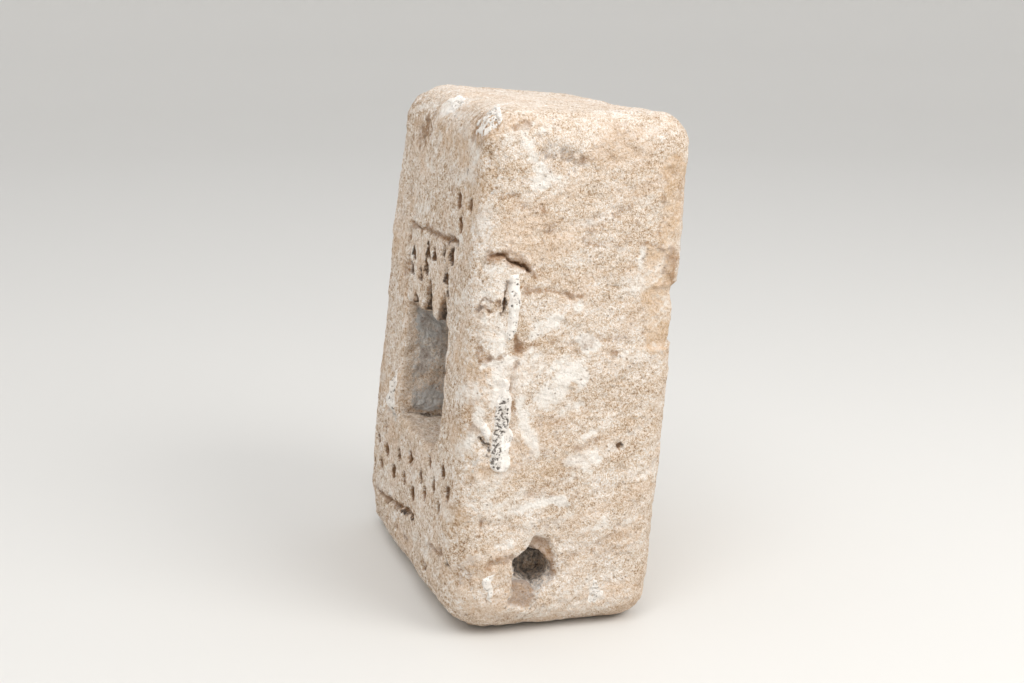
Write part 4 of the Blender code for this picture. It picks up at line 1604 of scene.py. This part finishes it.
@dataclass
class StoneBody:
    """The visible stone."""

    stone: CarvedStone
    finish: bpy.types.Material
    step: float = 1.25 * MM
    triangles: int = 190_000
    quiet_triangles: int = 46_000
    plain_margin: float = 0.006
    plain_foot: float = 0.004
    niche_starts: tuple[float, float] = (5 * MM, 10 * MM)
    socket_starts: tuple[float, float] = (1.5 * MM, 5 * MM)
    socket_shade: tuple[float, float] = (2 * MM, 14 * MM)
    socket_lit: tuple[float, float] = (0.060, 0.050)
    # relief_shown and dot_shown are the depths over which painted shade comes in, in the relief and in the
    # dots.
    relief_shown: tuple[float, float] = (1.0 * MM, 4.5 * MM)
    dot_reach: tuple[float, float] = (10 * MM, 7 * MM)
    dot_shown: tuple[float, float] = (0.5 * MM, 2.4 * MM)
    top_painted_light: float = 0.28
    washes: tuple[tuple[float, float, float, float], ...] = (
        (0.026, 0.011, 0.013, 0.012),
        (0.022, 0.010, 0.075, 0.010),
    )

    def build(self) -> bpy.types.Object:
        """Meshes the stone, presses its dots, leans it, and stains it and paints shade into its hollows.

        Returns:
            The finished piece.
        """
        block = self.stone.block
        margin = np.full(3, 0.006)
        net = Net.over(self.stone.distance, block.low - margin, block.high + margin, self.step)
        rise = self.stone.roughened(net.points) + block.hollowed(net.points)
        net = net.moved(net.points + net.normals() * rise[:, None])
        obj = net.mesh("niche_stone")
        PeckedDots(self.stone).press(obj, self.finish)
        straight = vertex_places(obj.data)
        places = block.leaned(straight)
        places[:, 2] = np.maximum(places[:, 2], 0.0)
        obj.data.vertices.foreach_set("co", places.astype(np.float32).ravel())
        self.thin(obj, straight)
        self.stain(obj.data)
        return obj

    def thin(self, obj: bpy.types.Object, straight: np.ndarray) -> None:
        """Thins the mesh, first on the plain sides that have no carving.

        Args:
            obj: The full mesh.
            straight: Where its vertices lie in the square block.
        """
        block = self.stone.block
        plain = (
            (straight[:, 1] > block.high[1] - self.plain_margin)
            | (straight[:, 0] < block.low[0] + self.plain_margin)
            | (straight[:, 2] < self.plain_foot)
        )
        total = 2 * len(obj.data.polygons)
        quiet = total * plain.mean()
        group = obj.vertex_groups.new(name="plain_sides")
        group.add(np.flatnonzero(plain).tolist(), 1.0, "REPLACE")
        first = obj.modifiers.new("thin_plain_sides", "DECIMATE")
        first.ratio = (total - quiet + self.quiet_triangles) / total
        first.vertex_group = group.name
        settled(obj)
        second = obj.modifiers.new("thin", "DECIMATE")
        obj.data.calc_loop_triangles()
        second.ratio = min(1.0, self.triangles / len(obj.data.loop_triangles))
        settled(obj)
        obj.vertex_groups.clear()
        obj.data.shade_smooth()

    def stain(self, mesh: bpy.types.Mesh) -> None:
        """Keeps how strong each stain and each painted shade is at each vertex.

        Args:
            mesh: The finished mesh, already leaned.
        """
        block = self.stone.block
        points = block.straightened(vertex_places(mesh))
        amounts = {stain: np.zeros(len(points)) for stain in Stain}
        hollow = np.zeros(len(points))
        gap, out, _, _ = block.surface(points)
        depth = -gap
        # Painted light: faces that look up are made paler, as if lit from above.
        amounts[Stain.LIME] += self.top_painted_light * smooth(out[:, 2], 0.7, 0.95)
        in_niche = smooth(depth, *self.niche_starts) * (points[:, 1] < 0.02)
        in_socket = smooth(depth, *self.socket_starts) * (points[:, 0] > 0.09) * (points[:, 2] < 0.085)
        in_socket *= self.stone.socket.distance(points) < 1.5 * MM
        sunk = np.zeros(len(points))
        for sheet, u, v, share in self.stone.faces(points):
            for stain in Stain:
                amounts[stain] += share * sheet.at(stain.value, u, v) * (1 - in_niche)
            # Relief that sinks deep gets painted shade through the hollow value.
            relief = share * sheet.at("depth", u, v)
            hollow += smooth(relief, *self.relief_shown)
            sunk += relief
        self.stain_and_shade_niche(points, depth, in_niche * (1 - in_socket), amounts)
        # Painted shade in the socket: darker deeper in, and darker under its top than near its floor.
        lit = smooth(points[:, 2], *self.socket_lit)
        amounts[Stain.DARK] += in_socket * smooth(depth, *self.socket_shade) * (0.95 - 0.50 * lit)
        amounts[Stain.SLATE] += in_socket * 0.45
        amounts[Stain.BROWN] += in_socket * 0.25
        # Painted shade in the pecked dots: brown and dark, stronger the deeper each dot sinks.
        dots = np.full(len(points), np.inf)
        for x, z in PeckedDots(self.stone).middles():
            middle = np.array(block.place_on_front(x, z))
            dots = np.minimum(dots, np.linalg.norm((points - middle) * (1, 1, 0.8), axis=1))
        pit = smooth(dots, *self.dot_reach) * smooth(depth - sunk, *self.dot_shown)
        hollow = np.maximum(hollow, pit)
        amounts[Stain.BROWN] += pit
        amounts[Stain.DARK] += 0.85 * pit * pit
        for stain, amount in amounts.items():
            keep_value(mesh, stain.value, np.clip(amount, 0.0, 1.0))
        # hollow is how much painted shade the deep relief and the dots get.
        keep_value(mesh, "hollow", hollow * (1 - in_niche))

    def stain_and_shade_niche(self, points: np.ndarray, depth: np.ndarray, inside: np.ndarray,
                    amounts: dict[Stain, np.ndarray]) -> None:
        """Adds the niche's own colours: old limewash on its walls, brown deeper in, and painted shade, brown
        and darker deeper in, in the lobes over its head.

        Args:
            points: Points of the square block.
            depth: How deep each lies behind the block's surface.
            inside: How much each belongs to the niche.
            amounts: The strength of each stain, which this adds to.
        """
        opening = self.stone.opening
        x, y, z = points.T
        reach = y - self.stone.block.low[1]
        over_floor = z - opening.sill + opening.sill_fall * np.clip(reach / opening.depth, 0.0, 1.0)
        over_head = z - (opening.head + opening.slope * (x - opening.left))
        coarse = self.stone.rough.layered(points + 2.0, 0.013, 4, 0.6)
        other = self.stone.rough.layered(points + 3.0, 0.010, 5, 0.8)
        wall = inside * smooth(over_floor, 1.5 * MM, 5 * MM)
        head = smooth(over_head, -8 * MM, 2 * MM)
        washed = wall * (1 - head) * smooth(reach + 4 * MM * other, 4 * MM, 11 * MM)
        low, high = (
            np.exp(-(((reach - inward) / wide) ** 2) - ((over_floor - up) / tall) ** 2)
            for inward, wide, up, tall in self.washes
        )
        amounts[Stain.SLATE] += washed * np.clip(0.45 + 0.4 * coarse + 0.9 * low + 0.8 * high, 0, 1)
        amounts[Stain.LIME] += washed * np.clip(0.05 + 0.9 * other + 0.3 * high, 0, 1)
        bare = smooth(reach + 3 * MM * other, 8 * MM, 14 * MM)
        amounts[Stain.BROWN] += wall * bare * np.clip(0.16 + 0.55 * coarse - 0.5 * low, 0, 1)
        amounts[Stain.DARK] += washed * np.clip(-0.05 - 0.45 * other - 0.2 * low, 0, 1)
        # Painted shade in the lobes of the head: brown, and darker the deeper they sink.
        lobes = np.zeros(len(points))
        for _, _, outline in opening.lobes():
            gap = polygon_distance(outline, x, z)
            lobes = np.maximum(lobes, smooth(gap, 1.2 * MM, -0.6 * MM))
        lobes *= smooth(over_head, -7 * MM, -1 * MM) * smooth(depth, 0.2 * MM, 1.6 * MM) * (y < 0.0)
        amounts[Stain.BROWN] += lobes
        amounts[Stain.DARK] += lobes * (0.25 + 0.55 * smooth(depth, 1.5 * MM, 7 * MM))
        joint = np.exp(-((over_floor / (1.6 * MM)) ** 2))
        joint *= smooth(x, opening.left + 0.012, opening.left + 0.004)
        amounts[Stain.DARK] += inside * joint * np.clip(0.75 + 0.5 * other, 0, 1)


class Grit:
    """Small grains strewn over a mesh by Geometry Nodes."""

    GRAIN = 0.55 * MM
    DENSITY = 60_000.0

    def __init__(self) -> None:
        """Builds the tree, which all crusts share."""
        kinds = {"Grain": "Float", "Density": "Float", "Seed": "Int"}
        self.tree = Tree("strewn_grit", kinds)
        graph, given = self.tree.graph, self.tree.given
        strewn = graph.add(
            "GeometryNodeDistributePointsOnFaces",
            {"Mesh": given["Geometry"], "Density": given["Density"], "Seed": given["Seed"]},
        ).outputs
        grain = graph.add("GeometryNodeMeshIcoSphere", {"Radius": given["Grain"], "Subdivisions": 1})
        sizes = {2: 0.35, 3: 1.25, "Seed": given["Seed"]}
        size = graph.add("FunctionNodeRandomValue", sizes, data_type="FLOAT")
        placed = graph.add(
            "GeometryNodeInstanceOnPoints",
            {
                "Points": strewn["Points"],
                "Instance": grain.outputs["Mesh"],
                "Rotation": strewn["Rotation"],
                "Scale": size.outputs[1],
            },
        )
        both = graph.add("GeometryNodeJoinGeometry")
        for part in (given["Geometry"], placed.outputs[0]):
            graph.tree.links.new(part, both.inputs[0])
        self.tree.close(both.outputs[0])

    def strew(self, obj: bpy.types.Object, seed: int, finish: bpy.types.Material) -> None:
        """Strews grains over an object, with one finish on all of it."""
        values = {"Grain": self.GRAIN, "Density": self.DENSITY, "Seed": seed, "Finish": finish}
        self.tree.run(obj, values)


@dataclass
class Crust:
    """A crust of old lime mortar left on a face, with open pores and grit.

    Its outline and sizes are in millimetres, across and up the face.
    """

    name: str
    face: Face
    outline: Corners
    thickness: float = 2.2
    pores: int = 50
    pore_widths: tuple[float, float] = (1.0, 2.6)
    pore_depth: float = 2.4
    seed: int = 1
    step: float = 0.65 * MM
    sheet_step: float = 0.4 * MM
    sunk: float = 1.5 * MM
    ragged: float = 1.6
    band: float = 0.36
    porous: Corners = ()

    def sheet(self) -> tuple[Sheet, np.ndarray]:
        """A fine sheet with the crust's pores, and how far each place lies outside the crust."""
        corners = in_metres(self.outline)
        us, vs = zip(*corners)
        edge = 4 * MM
        sheet = Sheet(
            (min(us) - edge, min(vs) - edge),
            (max(us) + edge, max(vs) + edge),
            ragged=self.ragged * MM,
            step=self.sheet_step,
            seed=self.seed,
        )
        outside = polygon_distance(corners, sheet.smeared_u, sheet.ragged_v)
        chance = np.random.default_rng(self.seed)
        open_part = outside
        pore = np.zeros(sheet.u.shape)
        if self.porous:
            to_core = polygon_distance(in_metres(self.porous), sheet.ragged_u, sheet.ragged_v)
            open_part = np.maximum(outside, to_core)
            pore += self.band * smooth(to_core, 2 * MM, -1 * MM)
        inner = np.argwhere(open_part < -0.8 * MM)
        for i, j in inner[chance.integers(0, len(inner), self.pores)]:
            low, high = self.pore_widths
            radius = (low + (high - low) * chance.random() ** 2) * MM / 2
            gap = np.hypot(sheet.ragged_u - sheet.ragged_u[i, j], sheet.ragged_v - sheet.ragged_v[i, j])
            np.maximum(pore, smooth(gap, 1.25 * radius, 0.6 * radius), out=pore)
        uneven = 1 + 0.45 * sheet.textured(self.seed + 3, 0.007, 3)
        sheet.layers["pore"] = pore
        sheet.layers["depth"] = self.pore_depth * MM * np.maximum(pore - self.band, 0.0)
        sheet.layers["depth"] -= self.thickness * MM * uneven * smooth(outside, 0.0, -1.8 * MM)
        return sheet, outside

    def build(self, stone: CarvedStone, grit: Grit, finish: bpy.types.Material) -> bpy.types.Object:
        """Lays the crust on the stone.

        Args:
            stone: The stone that carries it.
            grit: What is strewn over it.
            finish: The finish of the mortar.

        Returns:
            The finished piece.
        """
        sheet, outside = self.sheet()
        block = stone.block
        axis, way = self.face.value

        def place(points: np.ndarray) -> tuple[np.ndarray, np.ndarray]:
            """Where points lie on the crust's sheet."""
            _, _, core, radius = block.surface(points)
            pulled = block.pulled(points, core, radius, self.face)
            return pulled[:, 1 - axis], pulled[:, 2]

        def distance(points: np.ndarray) -> np.ndarray:
            """How far points lie outside the crust."""
            face = stone.distance(points)
            u, v = place(points)
            top = face + sheet.at("depth", u, v)
            return np.maximum(np.maximum(top, -face - self.sunk), sheet.between(outside, u, v))

        us, vs = zip(*in_metres(self.outline))
        low, high = np.zeros(3), np.zeros(3)
        low[1 - axis], high[1 - axis] = min(us) - 8 * MM, max(us) + 8 * MM
        low[2], high[2] = min(vs) - 6 * MM, max(vs) + 6 * MM
        plane = block.low[axis] if way < 0 else block.high[axis]
        low[axis], high[axis] = sorted((plane - way * 18 * MM, plane + way * 7 * MM))
        net = Net.over(distance, low, high, self.step)
        pores = sheet.at("pore", *place(net.points))
        rise = stone.roughened(net.points) + block.hollowed(net.points)
        moved = net.points + block.surface(net.points)[1] * rise[:, None]
        obj = net.moved(block.leaned(moved)).mesh(self.name)
        keep_value(obj.data, "pore", pores)
        grit.strew(obj, self.seed, finish)
        obj.data.shade_smooth()
        return obj


CRUSTS = (
    Crust(
        "mortar_upper_strip",
        Face.END,
        ((-55, 269), (-48, 270), (-46, 248), (-46, 234), (-47, 225), (-51, 223), (-54, 227), (-54, 247)),
        thickness=2.6,
        pores=30,
        pore_widths=(0.8, 1.9),
        seed=21,
        ragged=0.6,
    ),
    Crust(
        "mortar_lower_patch",
        Face.END,
        ((-54, 198), (-46, 192), (-46, 168), (-43, 155), (-43, 135), (-45, 128), (-55, 129), (-58, 137),
         (-58, 162), (-56, 178), (-54, 188)),
        thickness=2.0,
        pores=210,
        pore_widths=(0.6, 1.8),
        pore_depth=3.0,
        seed=23,
        ragged=1.0,
        porous=((-54, 184), (-47, 182), (-46, 160), (-50, 154), (-50, 130), (-57, 130), (-60, 145),
                (-58, 168)),
    ),
    Crust(
        "mortar_lump",
        Face.END,
        ((-67, 162), (-64, 165), (-58, 158), (-59, 151), (-62, 150), (-66, 156)),
        thickness=2.4,
        pores=3,
        pore_widths=(0.7, 1.2),
        seed=24,
    ),
    Crust(
        "mortar_foot",
        Face.END,
        ((-51, 32), (-47, 30), (-45, 40), (-47, 52), (-53, 52), (-54, 42)),
        thickness=1.0,
        pores=16,
        pore_widths=(0.6, 1.4),
        seed=25,
    ),
    Crust(
        "mortar_right_foot",
        Face.END,
        ((27, 22), (34, 20), (38, 28), (35, 38), (30, 42), (27, 32)),
        thickness=0.5,
        pores=24,
        pore_widths=(0.7, 1.7),
        seed=28,
        porous=((26, 21), (34, 19), (39, 28), (36, 39), (30, 43), (26, 32)),
    ),
    Crust(
        "mortar_niche_corner",
        Face.FRONT,
        ((-82, 122), (-74, 117), (-62, 117), (-60, 124), (-60, 140), (-64, 156), (-70, 148), (-80, 138)),
        thickness=2.2,
        pores=40,
        pore_widths=(0.9, 2.4),
        seed=26,
    ),
    Crust(
        "mortar_top_corner",
        Face.FRONT,
        ((102, 364), (112, 359), (121, 362), (131, 374), (133, 392), (118, 400), (98, 430), (84, 428),
         (90, 396)),
        thickness=0.7,
        pores=110,
        pore_widths=(1.4, 4.6),
        seed=27,
        ragged=2.4,
        porous=((98, 362), (112, 357), (123, 360), (134, 374), (132, 384), (112, 392), (92, 420), (84, 400)),
    ),
    Crust(
        "mortar_top_lump",
        Face.FRONT,
        ((3, 366), (14, 372), (16, 386), (-2, 428), (-34, 430), (-24, 404), (-12, 378)),
        thickness=0.6,
        pores=26,
        pore_widths=(1.4, 4.0),
        seed=29,
        ragged=2.8,
        porous=((0, 372), (14, 370), (20, 384), (4, 428), (-8, 424)),
    ),
)


class Studio:
    """The pale floor, the soft light and the camera."""

    def __init__(self) -> None:
        """Sets all of it up."""
        self.floor()
        self.light()
        self.camera()

    def floor(self) -> None:
        """A wide plain floor that rises all round in a soft sweep."""
        mesh = bpy.data.meshes.new("floor")
        rings = ((0.02, 0.0), (3.0, 0.0), (3.6, 0.05), (4.1, 0.2), (4.45, 0.5), (4.6, 1.0), (4.65, 2.6))
        around = 64
        places = [
            (
                radius * math.cos(math.tau * i / around),
                radius * math.sin(math.tau * i / around),
                height,
            )
            for radius, height in rings
            for i in range(around)
        ]
        faces = [tuple(range(around))]
        for ring in range(len(rings) - 1):
            for i in range(around):
                j = (i + 1) % around
                first = ring * around
                faces.append((first + i, first + around + i, first + around + j, first + j))
        mesh.from_pydata(places, [], faces)
        mesh.shade_smooth()
        floor = bpy.data.objects.new("floor", mesh)
        material = bpy.data.materials.new("pale_floor")
        material.use_nodes = True
        shader = material.node_tree.nodes["Principled BSDF"]
        shader.inputs["Base Color"].default_value = paint(222, 220, 216)
        shader.inputs["Roughness"].default_value = 0.9
        mesh.materials.append(material)
        bpy.context.scene.collection.objects.link(floor)

    def light(self) -> None:
        """Even daylight with one large soft light from the right."""
        world = bpy.data.worlds.new("daylight")
        world.use_nodes = True
        background = world.node_tree.nodes["Background"]
        background.inputs["Color"].default_value = (0.97, 0.98, 1.0, 1.0)
        background.inputs["Strength"].default_value = 0.93
        bpy.context.scene.world = world
        lamps = (
            ("window", (1.15, 0.85, 1.45), 1.1, 16.5),
            ("skylight", (0.80, -0.50, 1.75), 1.0, 9.0),
        )
        for name, place, size, energy in lamps:
            lamp = bpy.data.lights.new(name, "AREA")
            lamp.shape = "DISK"
            lamp.size = size
            lamp.energy = energy
            lamp.color = (1.0, 0.985, 0.96)
            obj = bpy.data.objects.new(name, lamp)
            obj.location = place
            aim = Vector((0.0, 0.0, 0.18)) - obj.location
            obj.rotation_euler = aim.to_track_quat("-Z", "Y").to_euler()
            bpy.context.scene.collection.objects.link(obj)
        bpy.context.scene.view_settings.view_transform = "Standard"

    def camera(self) -> None:
        """The camera, at the photograph's viewing angle."""
        data = bpy.data.cameras.new("camera")
        data.lens = 50.0
        data.sensor_width = 36.0
        camera = bpy.data.objects.new("camera", data)
        camera.location = (1.0411, -0.3255, 0.4718)
        pitch = math.radians(14.46)
        ahead = Vector((-0.95048, 0.3108, 0.0)).normalized() * math.cos(pitch)
        ahead.z = -math.sin(pitch)
        camera.rotation_euler = ahead.to_track_quat("-Z", "Y").to_euler()
        bpy.context.scene.collection.objects.link(camera)
        bpy.context.scene.camera = camera


def main() -> None:
    """Builds the scene and reports each piece."""
    logging.basicConfig(level=logging.INFO, format="%(name)s: %(message)s")
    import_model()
    effects = Effects()
    stone = CarvedStone()
    body = StoneBody(stone, Limestone().build(effects)).build()
    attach(body, "root")
    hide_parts("niche_block")
    pieces = [body]
    mortar, grit = LimeMortar().build(effects), Grit()
    for crust in CRUSTS:
        piece = crust.build(stone, grit, mortar)
        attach(piece, "root")
        pieces.append(piece)
    for piece in pieces:
        piece.data.calc_loop_triangles()
        LOG.info("%s: %d triangles", piece.name, len(piece.data.loop_triangles))
    Studio()


if __name__ == "__main__":
    main()
